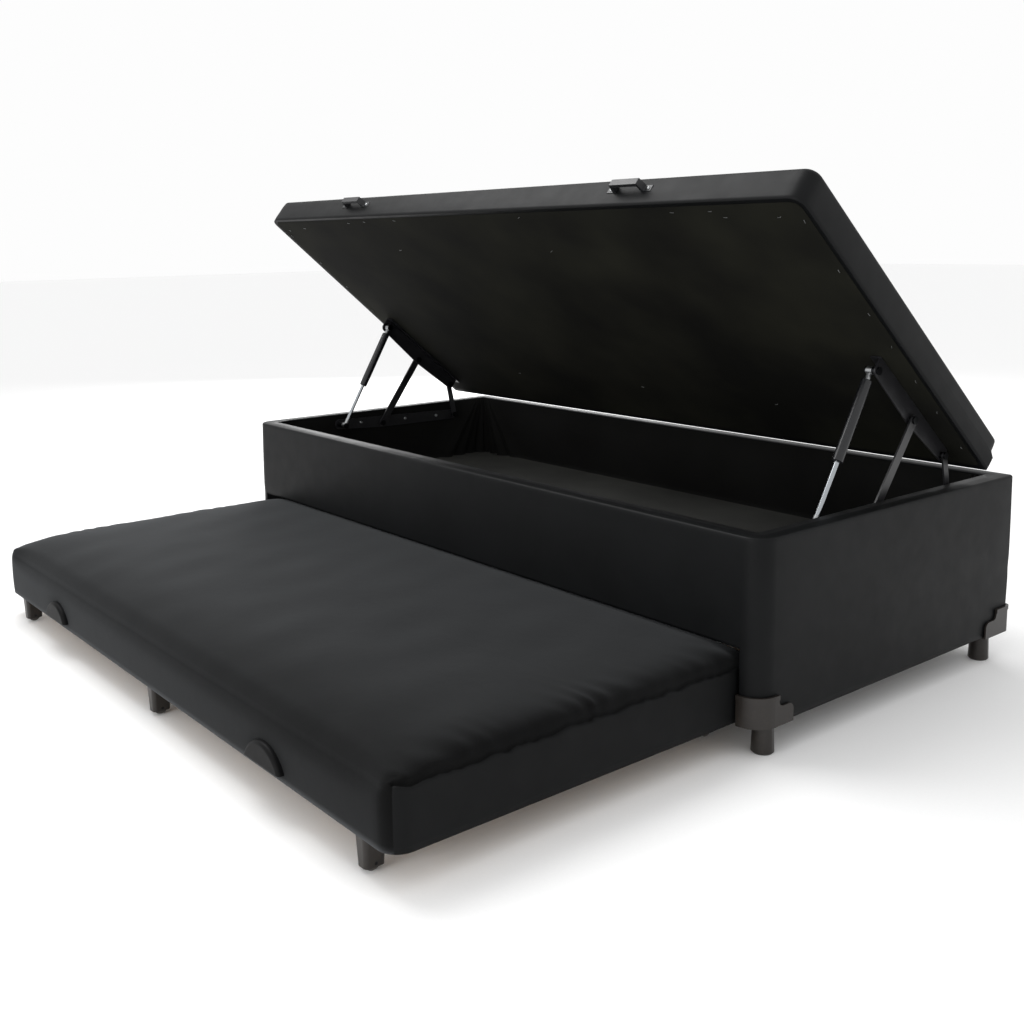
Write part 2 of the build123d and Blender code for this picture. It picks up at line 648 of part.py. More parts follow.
for side, hand in SIDES:
    with BuildPart() as wall_plate:
        with BuildSketch(layer(side, PLATE_FACE)):
            with Locations(STRUT_FOOT, ARM_FOOT, LINK_FOOT):
                Circle(PLATE_MARGIN)
            make_hull()
            with Locations(STRUT_FOOT, ARM_FOOT, LINK_FOOT):
                Circle(PIN_RADIUS + PIN_CLEARANCE, mode=Mode.SUBTRACT)
        extrude(amount=-side * PLATE)
    wall_plate.part.label = f"wall_plate_{hand}"
    export_step(wall_plate.part, f"parts/wall_plate_{hand}.step")

    with BuildPart() as front_arm:
        bar(side, ARM_FACE, (ARM_FOOT, ARM_HEAD), ARM_BREADTH, ARM)
    front_arm.part.label = f"front_arm_{hand}"
    export_step(front_arm.part, f"parts/front_arm_{hand}.step")

    with BuildPart() as rear_link:
        bar(side, ARM_FACE, (LINK_FOOT, LINK_HEAD), LINK_BREADTH, ARM)
    rear_link.part.label = f"rear_link_{hand}"
    export_step(rear_link.part, f"parts/rear_link_{hand}.step")

    with BuildPart() as lid_web:
        with BuildSketch(layer(side, WEB_FACE)):
            with BuildSketch(mode=Mode.PRIVATE) as eyes:
                with Locations(STRUT_HEAD, ARM_HEAD, LINK_HEAD):
                    Circle(WEB_MARGIN)
            make_hull(eyes.sketch_local.edges() + [Edge.make_line(*WEB_TOP)])
            with Locations(ARM_HEAD, STRUT_HEAD, LINK_HEAD):
                Circle(PIN_RADIUS + PIN_CLEARANCE, mode=Mode.SUBTRACT)
        extrude(amount=-side * WEB_FLANGE)
        with BuildSketch(layer(side, WEB_FACE + PLATE)):
            with BuildLine():
                Polyline(*WEB_CUT, close=True)
            make_face()
        extrude(amount=-side * WEB_FLANGE, mode=Mode.SUBTRACT)
    lid_web.part.label = f"lid_web_{hand}"
    export_step(lid_web.part, f"parts/lid_web_{hand}.step")

# Pins: each has a head, a shank through its bar and a spacer against its plate

with BuildPart() as lower_pins:
    for side, _ in SIDES:
        for centre in (ARM_FOOT, LINK_FOOT):
            disc(side, PLATE_FACE, centre, PIN_RADIUS, ARM_FACE + ARM + PLAY - PLATE_FACE)
            disc(side, PLATE_FACE + PLATE, centre, SPACER_RADIUS, SPACER)
            disc(side, ARM_FACE + ARM + PLAY, centre, PIN_HEAD_RADIUS, PIN_HEAD)
        near = STRUT_AXIS - SOCKET_WIDTH / 2 - PLAY
        far = STRUT_AXIS + SOCKET_WIDTH / 2 + PLAY
        disc(side, PLATE_FACE, STRUT_FOOT, PIN_RADIUS, far - PLATE_FACE)
        disc(side, PLATE_FACE + PLATE, STRUT_FOOT, SPACER_RADIUS, near - PLATE_FACE - PLATE)
        disc(side, far, STRUT_FOOT, PIN_HEAD_RADIUS, PIN_HEAD)
lower_pins.part.label = "lower_pins"
export_step(lower_pins.part, "parts/lower_pins.step")

with BuildPart() as upper_pins:
    for side, _ in SIDES:
        inner_face = WEB_FACE + PLATE
        shank = ARM_FACE - PLAY
        disc(side, shank, ARM_HEAD, PIN_RADIUS, inner_face - shank)
        disc(side, shank - PIN_HEAD, ARM_HEAD, PIN_HEAD_RADIUS, PIN_HEAD)
        disc(side, WEB_FACE - SPACER, ARM_HEAD, SPACER_RADIUS, SPACER)
        disc(side, inner_face, ARM_HEAD, PIN_HEAD_RADIUS, PIN_HEAD)
        disc(side, WEB_FACE, LINK_HEAD, PIN_RADIUS, PLATE)
        disc(side, inner_face, LINK_HEAD, PIN_HEAD_RADIUS, PIN_HEAD)
        disc(side, WEB_FACE, STRUT_HEAD, PIN_RADIUS, PLATE)
        disc(side, WEB_FACE - PIN_HEAD, STRUT_HEAD, PIN_HEAD_RADIUS, PIN_HEAD)
upper_pins.part.label = "upper_pins"
export_step(upper_pins.part, "parts/upper_pins.step")

for side, hand in SIDES:
    with BuildPart() as link_pin:
        disc(side, ARM_FACE - PLAY - PIN_HEAD, LINK_HEAD, PIN_HEAD_RADIUS, PIN_HEAD)
        disc(side, ARM_FACE - PLAY, LINK_HEAD, PIN_RADIUS, ARM + 2 * PLAY)
        disc(side, ARM_FACE + ARM + PLAY, LINK_HEAD, SPACER_RADIUS, SPACER - OPEN_GAP)
    link_pin.part.label = f"link_pin_{hand}"
    export_step(link_pin.part, f"parts/link_pin_{hand}.step")


# Gas struts: the rod turns on the wall plate's stud and the tube slides on it up to the lid


def strut_plane(side):
    """A plane at the strut's foot, whose Z runs up the strut."""
    rise = ((STRUT_HEAD[0] - STRUT_FOOT[0]), (STRUT_HEAD[1] - STRUT_FOOT[1]))
    return Plane(
        origin=(side * (BED_LENGTH / 2 - STRUT_AXIS), *STRUT_FOOT),
        x_dir=(1, 0, 0),
        z_dir=(0, *rise),
    )


def socket(side, centre, neck_start, neck_end):
    """An end fitting: a round eye across the strut with a neck along it."""
    with BuildSketch(strut_plane(side).offset(neck_start)) as neck:
        Circle(SOCKET_NECK)
    extrude(neck.sketch, amount=neck_end - neck_start)
    disc(side, STRUT_AXIS - SOCKET_WIDTH / 2, centre, SOCKET_RADIUS, SOCKET_WIDTH)
    with BuildSketch(layer(side, STRUT_AXIS - SOCKET_WIDTH / 2)) as eye:
        with Locations(centre):
            Circle(PIN_RADIUS + PIN_CLEARANCE)
    extrude(eye.sketch, amount=-side * SOCKET_WIDTH, mode=Mode.SUBTRACT)


TUBE_TOP = STRUT_REACH - SOCKET_LENGTH
TUBE_BOTTOM = TUBE_TOP - TUBE_LENGTH
BORE = TUBE_RADIUS - TUBE_WALL

for side, hand in SIDES:
    with BuildPart() as rod_socket:
        socket(side, STRUT_FOOT, 0, SOCKET_LENGTH)
    rod_socket.part.label = f"rod_socket_{hand}"
    export_step(rod_socket.part, f"parts/rod_socket_{hand}.step")

    with BuildPart() as strut_rod:
        with BuildSketch(strut_plane(side).offset(SOCKET_LENGTH)):
            Circle(ROD_RADIUS)
        extrude(amount=TUBE_BOTTOM + ROD_INSIDE - SOCKET_LENGTH)
        with BuildSketch(strut_plane(side).offset(TUBE_BOTTOM + ROD_INSIDE - PISTON)):
            Circle(BORE - ROD_CLEARANCE)
        extrude(amount=PISTON)
    strut_rod.part.label = f"strut_rod_{hand}"
    export_step(strut_rod.part, f"parts/strut_rod_{hand}.step")

    with BuildPart() as strut_tube:
        with BuildSketch(strut_plane(side).offset(TUBE_BOTTOM)):
            Circle(TUBE_RADIUS)
        extrude(amount=TUBE_LENGTH)
        chamfer(edges(), TUBE_BEVEL)
        with BuildSketch(strut_plane(side).offset(TUBE_BOTTOM + TUBE_END)):
            Circle(BORE)
        extrude(amount=TUBE_LENGTH - 2 * TUBE_END, mode=Mode.SUBTRACT)
        with BuildSketch(strut_plane(side).offset(TUBE_BOTTOM)):
            Circle(ROD_RADIUS + ROD_CLEARANCE)
        extrude(amount=TUBE_END, mode=Mode.SUBTRACT)
    strut_tube.part.label = f"strut_tube_{hand}"
    export_step(strut_tube.part, f"parts/strut_tube_{hand}.step")

    with BuildPart() as tube_socket:
        socket(side, STRUT_HEAD, TUBE_TOP, STRUT_REACH)
    tube_socket.part.label = f"tube_socket_{hand}"
    export_step(tube_socket.part, f"parts/tube_socket_{hand}.step")

    with BuildPart() as tube_stud:
        start = WEB_FACE + PLATE + OPEN_GAP
        near = STRUT_AXIS - SOCKET_WIDTH / 2
        far = STRUT_AXIS + SOCKET_WIDTH / 2
        disc(side, start, STRUT_HEAD, SPACER_RADIUS, near - start)
        disc(side, near, STRUT_HEAD, PIN_RADIUS, far - near)
        disc(side, far, STRUT_HEAD, PIN_HEAD_RADIUS, PIN_HEAD)
    tube_stud.part.label = f"tube_stud_{hand}"
    export_step(tube_stud.part, f"parts/tube_stud_{hand}.step")

# Trundle: a padded band over a timber frame, a deck, and a crowned top


def trundle_outline(inset):
    """The trundle's plan, drawn in by one distance."""
    rounded(
        TRUNDLE_LENGTH - 2 * inset,
        TRUNDLE_DEPTH - 2 * inset,
        max(TRUNDLE_FRONT_CORNER - inset, BAND_SKIN),
        max(TRUNDLE_REAR_CORNER - inset, BAND_SKIN),
    )


with BuildPart() as trundle_band:
    with BuildSketch(level(TRUNDLE_Y, TRUNDLE_LIFT)):
        trundle_outline(0)
    extrude(amount=TRUNDLE_SIDE)
    with BuildSketch(level(TRUNDLE_Y, TRUNDLE_LIFT + BAND_HEM_SKIN)):
        trundle_outline(BAND_SKIN)
    extrude(amount=TRUNDLE_SIDE - BAND_HEM_SKIN, mode=Mode.SUBTRACT)
    with BuildSketch(level(TRUNDLE_Y, TRUNDLE_LIFT)):
        trundle_outline(BAND_HEM)
    extrude(amount=BAND_HEM_SKIN, mode=Mode.SUBTRACT)
trundle_band.part.label = "trundle_band"
export_step(trundle_band.part, "parts/trundle_band.step")

FRAME_BOTTOM = TRUNDLE_LIFT + BAND_HEM_SKIN
DECK_BOTTOM = FRAME_BOTTOM + TRUNDLE_RAIL_HEIGHT
PAD_BOTTOM = DECK_BOTTOM + TRUNDLE_DECK
FRAME_X = TRUNDLE_LENGTH / 2 - BAND_SKIN - TOUCH
FRAME_Y = TRUNDLE_DEPTH / 2 - BAND_SKIN - TOUCH

with BuildPart() as trundle_side_rails:
    with BuildSketch(level(TRUNDLE_Y, FRAME_BOTTOM)):
        trundle_outline(BAND_SKIN + TOUCH)
        Rectangle(2 * FRAME_X, 2 * (FRAME_Y - TRUNDLE_RAIL_WIDTH), mode=Mode.SUBTRACT)
    extrude(amount=TRUNDLE_RAIL_HEIGHT)
trundle_side_rails.part.label = "trundle_side_rails"
export_step(trundle_side_rails.part, "parts/trundle_side_rails.step")

with BuildPart() as trundle_end_rails:
    with BuildSketch(level(TRUNDLE_Y, FRAME_BOTTOM)):
        with GridLocations(2 * FRAME_X - TRUNDLE_RAIL_WIDTH, 0, 2, 1):
            Rectangle(TRUNDLE_RAIL_WIDTH, 2 * (FRAME_Y - TRUNDLE_RAIL_WIDTH))
    extrude(amount=TRUNDLE_RAIL_HEIGHT)
trundle_end_rails.part.label = "trundle_end_rails"
export_step(trundle_end_rails.part, "parts/trundle_end_rails.step")

with BuildPart() as trundle_slats:
    with BuildSketch(level(TRUNDLE_Y, DECK_BOTTOM - TRUNDLE_SLAT_HEIGHT)):
        with GridLocations(2 * FRAME_X / (TRUNDLE_SLAT_COUNT + 1), 0, TRUNDLE_SLAT_COUNT, 1):
            Rectangle(TRUNDLE_SLAT_WIDTH, 2 * (FRAME_Y - TRUNDLE_RAIL_WIDTH))
    extrude(amount=TRUNDLE_SLAT_HEIGHT)
trundle_slats.part.label = "trundle_slats"
export_step(trundle_slats.part, "parts/trundle_slats.step")

with BuildPart() as trundle_deck:
    with BuildSketch(level(TRUNDLE_Y, DECK_BOTTOM)):
        trundle_outline(BAND_SKIN + TOUCH)
    extrude(amount=TRUNDLE_DECK)
trundle_deck.part.label = "trundle_deck"
export_step(trundle_deck.part, "parts/trundle_deck.step")


def crown(inset, drop, mode):
    """The crowned top as one solid, drawn in and lowered by two distances."""
    sections = []
    for inset_share, rise_share in zip(CROWN_INSET_SHARES, CROWN_RISE_SHARES):
        height = TRUNDLE_LIFT + TRUNDLE_SIDE - drop + rise_share * TRUNDLE_CROWN
        with BuildSketch(level(TRUNDLE_Y, height)) as section:
            trundle_outline(inset + inset_share * TRUNDLE_DEPTH)
        sections.append(section.sketch)
    loft(sections=sections, ruled=True, mode=mode)


with BuildPart() as trundle_top:
    crown(0, 0, Mode.ADD)
    crown(TOP_SKIN, TOP_SKIN, Mode.SUBTRACT)
trundle_top.part.label = "trundle_top"
export_step(trundle_top.part, "parts/trundle_top.step")

with BuildPart() as trundle_pad:
    with BuildSketch(level(TRUNDLE_Y, PAD_BOTTOM + SOFT_GAP)):
        trundle_outline(BAND_SKIN + SOFT_GAP)
    extrude(amount=TRUNDLE_LIFT + TRUNDLE_SIDE - TOP_SKIN - PAD_BOTTOM - 2 * SOFT_GAP)
    crown(BAND_SKIN + SOFT_GAP, TOP_SKIN + SOFT_GAP, Mode.ADD)
trundle_pad.part.label = "trundle_pad"
export_step(trundle_pad.part, "parts/trundle_pad.step")

# Cup pulls on the trundle's front face, open underneath


def pull_arch(inset, height):
    """A pull's front view: an arch on a straight base."""
    half = PULL_WIDTH / 2 - inset
    with BuildLine() as arch:
        ThreePointArc((half, 0), (0, height), (-half, 0))
        Line((-half, 0), (half, 0))
    make_face(arch.edges())


for side, hand in SIDES:
    pull_plane = Plane(
        origin=(side * PULL_CENTRE, TRUNDLE_FRONT, TRUNDLE_LIFT + PULL_RAISE),
        x_dir=(1, 0, 0),
        z_dir=(0, -1, 0),
    )
    with BuildPart() as trundle_pull:
        with BuildSketch(pull_plane):
            pull_arch(0, PULL_HEIGHT)
        extrude(amount=PULL_PROUD)
        fillet(faces().sort_by(Axis.Y)[0].edges().sort_by(Axis.Z)[-1], PULL_ROUND)
        with BuildSketch(pull_plane):
            pull_arch(PULL_ROUND, PULL_HEIGHT - PULL_WALL - PULL_WALL)
        extrude(amount=PULL_PROUD - PULL_WALL, mode=Mode.SUBTRACT)
    trundle_pull.part.label = f"trundle_pull_{hand}"
    export_step(trundle_pull.part, f"parts/trundle_pull_{hand}.step")

# Casters: six hoods under the frame, each with an axle and a wheel

CASTER_X = TRUNDLE_LENGTH / 2 - CASTER_END_INSET
CASTER_Y = TRUNDLE_DEPTH / 2 - CASTER_FACE_INSET
CASTER_NAMES = ("left", "middle", "right")
CAVITY_WIDTH = WHEEL_WIDTH + 2 * WHEEL_GAP
CAVITY_DEPTH = 2 * (WHEEL_RADIUS + WHEEL_GAP)

with BuildPart() as caster_hoods:
    for spot in GridLocations(CASTER_X, 2 * CASTER_Y, 3, 2):
        centre = spot.position + Vector(0, TRUNDLE_Y)
        with BuildSketch(Plane(origin=centre + Vector(0, 0, HOOD_GROUND_GAP), z_dir=(0, 0, 1))):
            RectangleRounded(HOOD_WIDTH - 2 * HOOD_TAPER, HOOD_DEPTH - 2 * HOOD_TAPER, HOOD_ROUND)
        with BuildSketch(Plane(origin=centre + Vector(0, 0, TRUNDLE_LIFT), z_dir=(0, 0, 1))):
            RectangleRounded(HOOD_WIDTH, HOOD_DEPTH, HOOD_ROUND)
        loft(ruled=True)
    with BuildSketch(level(TRUNDLE_Y, HOOD_GROUND_GAP)):
        with GridLocations(CASTER_X, 2 * CASTER_Y, 3, 2):
            Rectangle(CAVITY_WIDTH, CAVITY_DEPTH)
    extrude(amount=2 * WHEEL_RADIUS + WHEEL_GAP - HOOD_GROUND_GAP, mode=Mode.SUBTRACT)
    with BuildSketch(Plane.YZ.offset(-TRUNDLE_LENGTH / 2)):
        with Locations((TRUNDLE_Y - CASTER_Y, WHEEL_RADIUS), (TRUNDLE_Y + CASTER_Y, WHEEL_RADIUS)):
            Circle(AXLE_RADIUS)
    extrude(amount=TRUNDLE_LENGTH, mode=Mode.SUBTRACT)
caster_hoods.part.label = "caster_hoods"
export_step(caster_hoods.part, "parts/caster_hoods.step")

with BuildPart() as caster_axles:
    for column in (-1, 0, 1):
        axle_length = HOOD_WIDTH - 2 * HOOD_TAPER
        with BuildSketch(Plane.YZ.offset(column * CASTER_X - axle_length / 2)):
            with Locations(
                (TRUNDLE_Y - CASTER_Y, WHEEL_RADIUS), (TRUNDLE_Y + CASTER_Y, WHEEL_RADIUS)
            ):
                Circle(AXLE_RADIUS)
        extrude(amount=axle_length)
caster_axles.part.label = "caster_axles"
export_step(caster_axles.part, "parts/caster_axles.step")

for row, end in ((-1, "front"), (1, "rear")):
    for column, hand in zip((-1, 0, 1), CASTER_NAMES):
        hub = Plane(
            origin=(column * CASTER_X, TRUNDLE_Y + row * CASTER_Y, WHEEL_RADIUS),
            x_dir=(0, 1, 0),
            z_dir=(1, 0, 0),
        )
        with BuildPart() as wheel:
            with BuildSketch(hub.offset(-WHEEL_WIDTH / 2)):
                Circle(WHEEL_RADIUS)
            extrude(amount=WHEEL_WIDTH)
            chamfer(edges(), WHEEL_BEVEL)
            with BuildSketch(hub.offset(-WHEEL_WIDTH / 2)):
                Circle(AXLE_RADIUS + PIN_CLEARANCE)
            extrude(amount=WHEEL_WIDTH, mode=Mode.SUBTRACT)
        wheel.part.label = f"wheel_{end}_{hand}"
        export_step(wheel.part, f"parts/wheel_{end}_{hand}.step")
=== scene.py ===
import json
import math
import random

import bpy
import numpy as np
from bpy.props import FloatProperty, FloatVectorProperty, PointerProperty
from mathutils import Matrix, Vector


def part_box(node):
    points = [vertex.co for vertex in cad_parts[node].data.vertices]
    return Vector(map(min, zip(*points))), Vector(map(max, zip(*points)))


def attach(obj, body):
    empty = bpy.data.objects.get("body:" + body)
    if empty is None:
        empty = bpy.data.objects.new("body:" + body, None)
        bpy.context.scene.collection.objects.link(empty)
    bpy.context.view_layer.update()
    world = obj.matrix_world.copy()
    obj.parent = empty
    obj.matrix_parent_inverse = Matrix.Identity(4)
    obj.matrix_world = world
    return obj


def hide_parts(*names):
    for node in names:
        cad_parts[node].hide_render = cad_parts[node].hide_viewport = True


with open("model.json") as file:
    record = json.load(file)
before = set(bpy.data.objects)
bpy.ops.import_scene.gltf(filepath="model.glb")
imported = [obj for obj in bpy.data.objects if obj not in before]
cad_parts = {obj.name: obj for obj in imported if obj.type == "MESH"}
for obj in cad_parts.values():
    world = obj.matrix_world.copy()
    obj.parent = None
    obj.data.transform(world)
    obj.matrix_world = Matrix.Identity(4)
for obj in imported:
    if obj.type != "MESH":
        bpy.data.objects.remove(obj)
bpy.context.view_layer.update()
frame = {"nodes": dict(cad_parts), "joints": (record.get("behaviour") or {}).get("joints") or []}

bl_info = {
    "name": "Storage bed with trundle",
    "version": (1, 0, 0),
    "blender": (4, 5, 0),
    "location": "View3D > Sidebar > Bed",
    "description": "Upholsters and finishes a lift-up storage bed and its trundle",
    "category": "Object",
}

MM = 0.001
TOUCHING = 1e-6  # places this near count as the same
TIGHTEST = 6 * MM  # the smallest radius that a cover's corner keeps

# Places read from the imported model, in metres


def span(node):
    """A node's lowest and highest corner as two vectors."""
    low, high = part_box(node)
    return Vector(low), Vector(high)


BOX_LOW, BOX_HIGH = span("box_cover")
WELL_LOW, WELL_HIGH = span("floor_ledges")
APRON_LOW, APRON_HIGH = span("front_panel")
BAND_LOW, BAND_HIGH = span("trundle_band")
CROWN_LOW, CROWN_HIGH = span("trundle_top")
LINER_LOW, LINER_HIGH = span("storage_liner")
BOX_MIDDLE = (BOX_LOW + BOX_HIGH) / 2
BAND_MIDDLE = (BAND_LOW + BAND_HIGH) / 2

# The trundle's opening in the box's cover, and the radius of the box's rolled rim

JAMB = APRON_HIGH.x - 1.5 * MM
DOOR_TOP = APRON_LOW.z - 3 * MM
RIM = 5 * MM


def lid_frame():
    """The lid's own frame, on its lining: X along the bed, Y to the rear, Z up through it."""
    mesh = frame["nodes"]["lid_lining"].data
    largest = max(mesh.polygons, key=lambda face: face.area)
    up = largest.normal.copy()
    if up.z < 0:
        up.negate()
    along = Vector((1, 0, 0))
    rear = up.cross(along)
    under = min(vertex.co.dot(up) for vertex in mesh.vertices)
    depths = [vertex.co.dot(rear) for vertex in mesh.vertices]
    origin = rear * (min(depths) + max(depths)) / 2 + up * under
    axes = Matrix((along, rear, up)).transposed().to_4x4()
    return Matrix.Translation(origin) @ axes


LID = lid_frame()


def lid_extent(node):
    """A lid node's lowest and highest corner in the lid's own frame."""
    back = LID.inverted()
    points = np.array([back @ vertex.co for vertex in frame["nodes"][node].data.vertices])
    return Vector(points.min(axis=0)), Vector(points.max(axis=0))


def pivot(name):
    """The place of a joint's axis."""
    joint = next(joint for joint in frame["joints"] if joint["name"] == name)
    return Vector(joint["pos_m"])


LID_LOW, LID_HIGH = lid_extent("lid_cover")

# Corner radii seen from above, at the front and at the rear

BOX_CORNERS = (44 * MM, 12 * MM)
LID_CORNERS = (30 * MM, 22 * MM)
TRUNDLE_CORNERS = (40 * MM, 24 * MM)

# Camera, fitted to the photograph: metres, degrees, and pixels of a 1024-pixel frame

CAMERA_AT = (2.2179, -1.6967, 0.9561)
CAMERA_AZIMUTH = 52.029
CAMERA_ELEVATION = 9.34
CAMERA_ROLL = -0.881
FOCAL_PIXELS = 1179.3
OPTICAL_CENTRE = (472.4, 431.7)
FRAME_PIXELS = 1024
SENSOR = 36

# Materials


def linear(code):
    """Turns an sRGB hex colour into linear red, green and blue."""
    values = [int(code[place:place + 2], 16) / 255 for place in (0, 2, 4)]
    return [v / 12.92 if v <= 0.04045 else ((v + 0.055) / 1.055) ** 2.4 for v in values]


def rgba(colour):
    """A linear colour with full opacity."""
    return (*colour[:3], 1)


def shade(colour, factor):
    """A colour made lighter or darker."""
    return [min(channel * factor, 1) for channel in colour[:3]]


class Surface:
    """A new material with one shader. Its patterns are given in the object's millimetres."""

    def __init__(self, name):
        self.material = bpy.data.materials.new(name)
        self.material.use_nodes = True
        self.tree = self.material.node_tree
        self.tree.nodes.clear()
        self.shader = self.add("ShaderNodeBsdfPrincipled")
        self.add("ShaderNodeOutputMaterial", links={"Surface": self.shader.outputs["BSDF"]})
        self.place = self.add("ShaderNodeTexCoord").outputs["Object"]
        self.raised = None

    def add(self, kind, values=None, links=None, **settings):
        """Adds one node with its settings, its unlinked values and its incoming links."""
        node = self.tree.nodes.new(kind)
        for name, setting in settings.items():
            setattr(node, name, setting)
        for socket, value in (values or {}).items():
            node.inputs[socket].default_value = value
        for socket, source in (links or {}).items():
            self.tree.links.new(source, node.inputs[socket])
        return node

    def even(self, values):
        """Sets plain values on the shader's own sockets."""
        for socket, value in values.items():
            self.shader.inputs[socket].default_value = value

    def feed(self, socket, source):
        """Drives one of the shader's sockets by a pattern."""
        self.tree.links.new(source, self.shader.inputs[socket])

    def noise(self, size, detail=3.0, roughness=0.5, place=None):
        """Soft noise whose blotches are about one size across."""
        values = {"Scale": 1 / (size * MM), "Detail": detail, "Roughness": roughness}
        node = self.add("ShaderNodeTexNoise", values, {"Vector": place or self.place})
        return node.outputs["Fac"]

    def cells(self, size):
        """Rounded cells about one size across."""
        values = {"Scale": 1 / (size * MM)}
        node = self.add("ShaderNodeTexVoronoi", values, {"Vector": self.place}, feature="F1")
        return node.outputs["Distance"]

    def ramp(self, pattern, *colours, between=(0.3, 0.7)):
        """A colour that runs from one to another between two values of a pattern."""
        node = self.add("ShaderNodeValToRGB", links={"Fac": pattern})
        for stop, position, colour in zip(node.color_ramp.elements, between, colours):
            stop.position = position
            stop.color = rgba(colour)
        return node.outputs["Color"]

    def tint(self, *pattern_and_colours, **stops):
        """Gives the surface such a running colour."""
        self.feed("Base Color", self.ramp(*pattern_and_colours, **stops))

    def gloss(self, pattern, low, high):
        """Gives the surface a roughness that runs from one value to another."""
        values = {"To Min": low, "To Max": high}
        node = self.add("ShaderNodeMapRange", values, {"Value": pattern})
        self.feed("Roughness", node.outputs["Result"])

    def bump(self, pattern, depth, strength):
        """Raises the surface by a pattern, over any bump that was made before it."""
        links = {"Height": pattern}
        if self.raised:
            links["Normal"] = self.raised
        values = {"Strength": strength, "Distance": depth * MM}
        self.raised = self.add("ShaderNodeBump", values, links).outputs["Normal"]
        self.feed("Normal", self.raised)


def synthetic_leather(made, colour, roughness):
    """Black synthetic leather: a coated cloth, calendered with a fine pebble grain. The coating
    gives a broad, soft highlight, and the foam under it gives slow changes of tone."""
    made.even({"Specular IOR Level": 0.14, "IOR": 1.47})
    made.tint(made.noise(210, detail=4), shade(colour, 0.8), shade(colour, 1.25))
    made.gloss(made.noise(45, detail=5), roughness - 0.07, roughness + 0.08)
    # The real grain is about 0.9 mm across, and is drawn at 1.6 mm so that a near view shows it.
    made.bump(made.cells(1.6), depth=0.12, strength=0.5)
    made.bump(made.noise(90), depth=2.2, strength=0.35)


def suede_cloth(made, colour):
    """Polyester suede, woven and sanded to a short nap. The nap scatters light to the sides, and
    lies one way or the other in patches, lighter and darker."""
    sheen = {"Sheen Weight": 0.18, "Sheen Roughness": 0.4, "Sheen Tint": (0.8, 0.84, 0.88, 1)}
    made.even({"Roughness": 0.92, "Specular IOR Level": 0.1, **sheen})
    patches = made.noise(130, detail=6, roughness=0.62)
    fibres = made.noise(2.4, detail=2)
    lie = made.ramp(patches, shade(colour, 0.55), shade(colour, 1.5), between=(0.34, 0.66))
    nap = made.ramp(fibres, linear("909090"), linear("FFFFFF"))
    links = {"Color1": lie, "Color2": nap}
    mixed = made.add("ShaderNodeMixRGB", {"Fac": 0.6}, links, blend_type="MULTIPLY")
    made.feed("Base Color", mixed.outputs["Color"])
    # Real nap fibres are about 0.1 mm, and are drawn at 2.4 mm to show in the render.
    made.bump(fibres, depth=0.25, strength=0.5)
    made.bump(patches, depth=2.5, strength=0.3)


def spunbond_lining(made, colour, warm):
    """Spunbond polypropylene lining: matted fibres, welded in rows of small dots. It is thin and
    dull, and the battens behind it show as slow changes of tone."""
    made.even({"Roughness": 0.88, "Specular IOR Level": 0.14})
    made.tint(made.noise(320), colour, warm, between=(0.35, 0.65))
    # The welded dots stand about 1.5 mm apart, and are drawn 3 mm apart to show in the render.
    made.bump(made.cells(3), depth=0.18, strength=0.4)
    made.bump(made.noise(5, detail=4, roughness=0.7), depth=0.2, strength=0.4)
    made.bump(made.noise(60), depth=1.8, strength=0.4)


def sawn_wood(made, early, late):
    """Sawn softwood: pale early wood between darker late rings, with a fuzzy sawn face. Black
    stain leaves only a trace of the rings."""
    made.even({"Roughness": 0.78, "IOR": 1.5})
    # The pattern is drawn out along the bed.
    stretched = made.add("ShaderNodeMapping", {"Scale": (0.12, 1, 1)}, {"Vector": made.place})
    grain = stretched.outputs["Vector"]
    # Blender's bands lie 0.314 of this size apart, so the rings lie about 13 mm apart.
    values = {"Scale": 1 / (42 * MM), "Distortion": 5.0, "Detail": 3.0}
    rings = made.add("ShaderNodeTexWave", values, {"Vector": grain}, bands_direction="Y")
    made.tint(rings.outputs["Fac"], early, late, between=(0.2, 0.9))
    made.bump(made.noise(1.5, place=grain), depth=0.3, strength=0.5)


def pressed_board(made, colour):
    """Hardboard: wood fibre pressed hot into a dense brown sheet, with dark and pale flecks."""
    made.even({"Roughness": 0.7, "IOR": 1.5})
    flecks = made.noise(4, detail=5, roughness=0.7)
    made.tint(flecks, shade(colour, 0.7), shade(colour, 1.3))
    made.bump(flecks, depth=0.1, strength=0.4)


def powder_coated_steel(made, colour, roughness):
    """Pressed steel with a black powder coat, melted on: even, slightly rippled like orange
    peel, and paler in random patches that are partly wear and partly a painted highlight."""
    made.even({"Specular IOR Level": 0.5, "IOR": 1.5})
    # The paler patches are partly wear and partly a painted highlight.
    wear_and_highlight = made.noise(18, detail=6, roughness=0.65)
    made.tint(wear_and_highlight, colour, shade(colour, 2.2), between=(0.55, 0.9))
    made.gloss(wear_and_highlight, roughness - 0.08, roughness + 0.1)
    made.bump(made.noise(1.8), depth=0.06, strength=0.5)


def zinc_plated_steel(made, colour):
    """Turned or pressed steel, zinc plated and passivated: silvery and cloudy under a clear
    film, dark with a dull shine under a black one."""
    made.even({"Metallic": 1.0})
    cloud = made.noise(9, detail=5)
    made.tint(cloud, shade(colour, 0.78), colour, between=(0.3, 0.75))
    made.gloss(cloud, 0.22, 0.42)
    made.bump(made.noise(0.8), depth=0.03, strength=0.4)


def chromed_rod_steel(made, colour):
    """A piston rod, ground and hard chromed: a mirror finish with very fine marks round it."""
    made.even({"Metallic": 1.0})
    marks = made.noise(1.2, detail=2)
    made.tint(marks, shade(colour, 0.93), colour)
    made.gloss(marks, 0.07, 0.16)


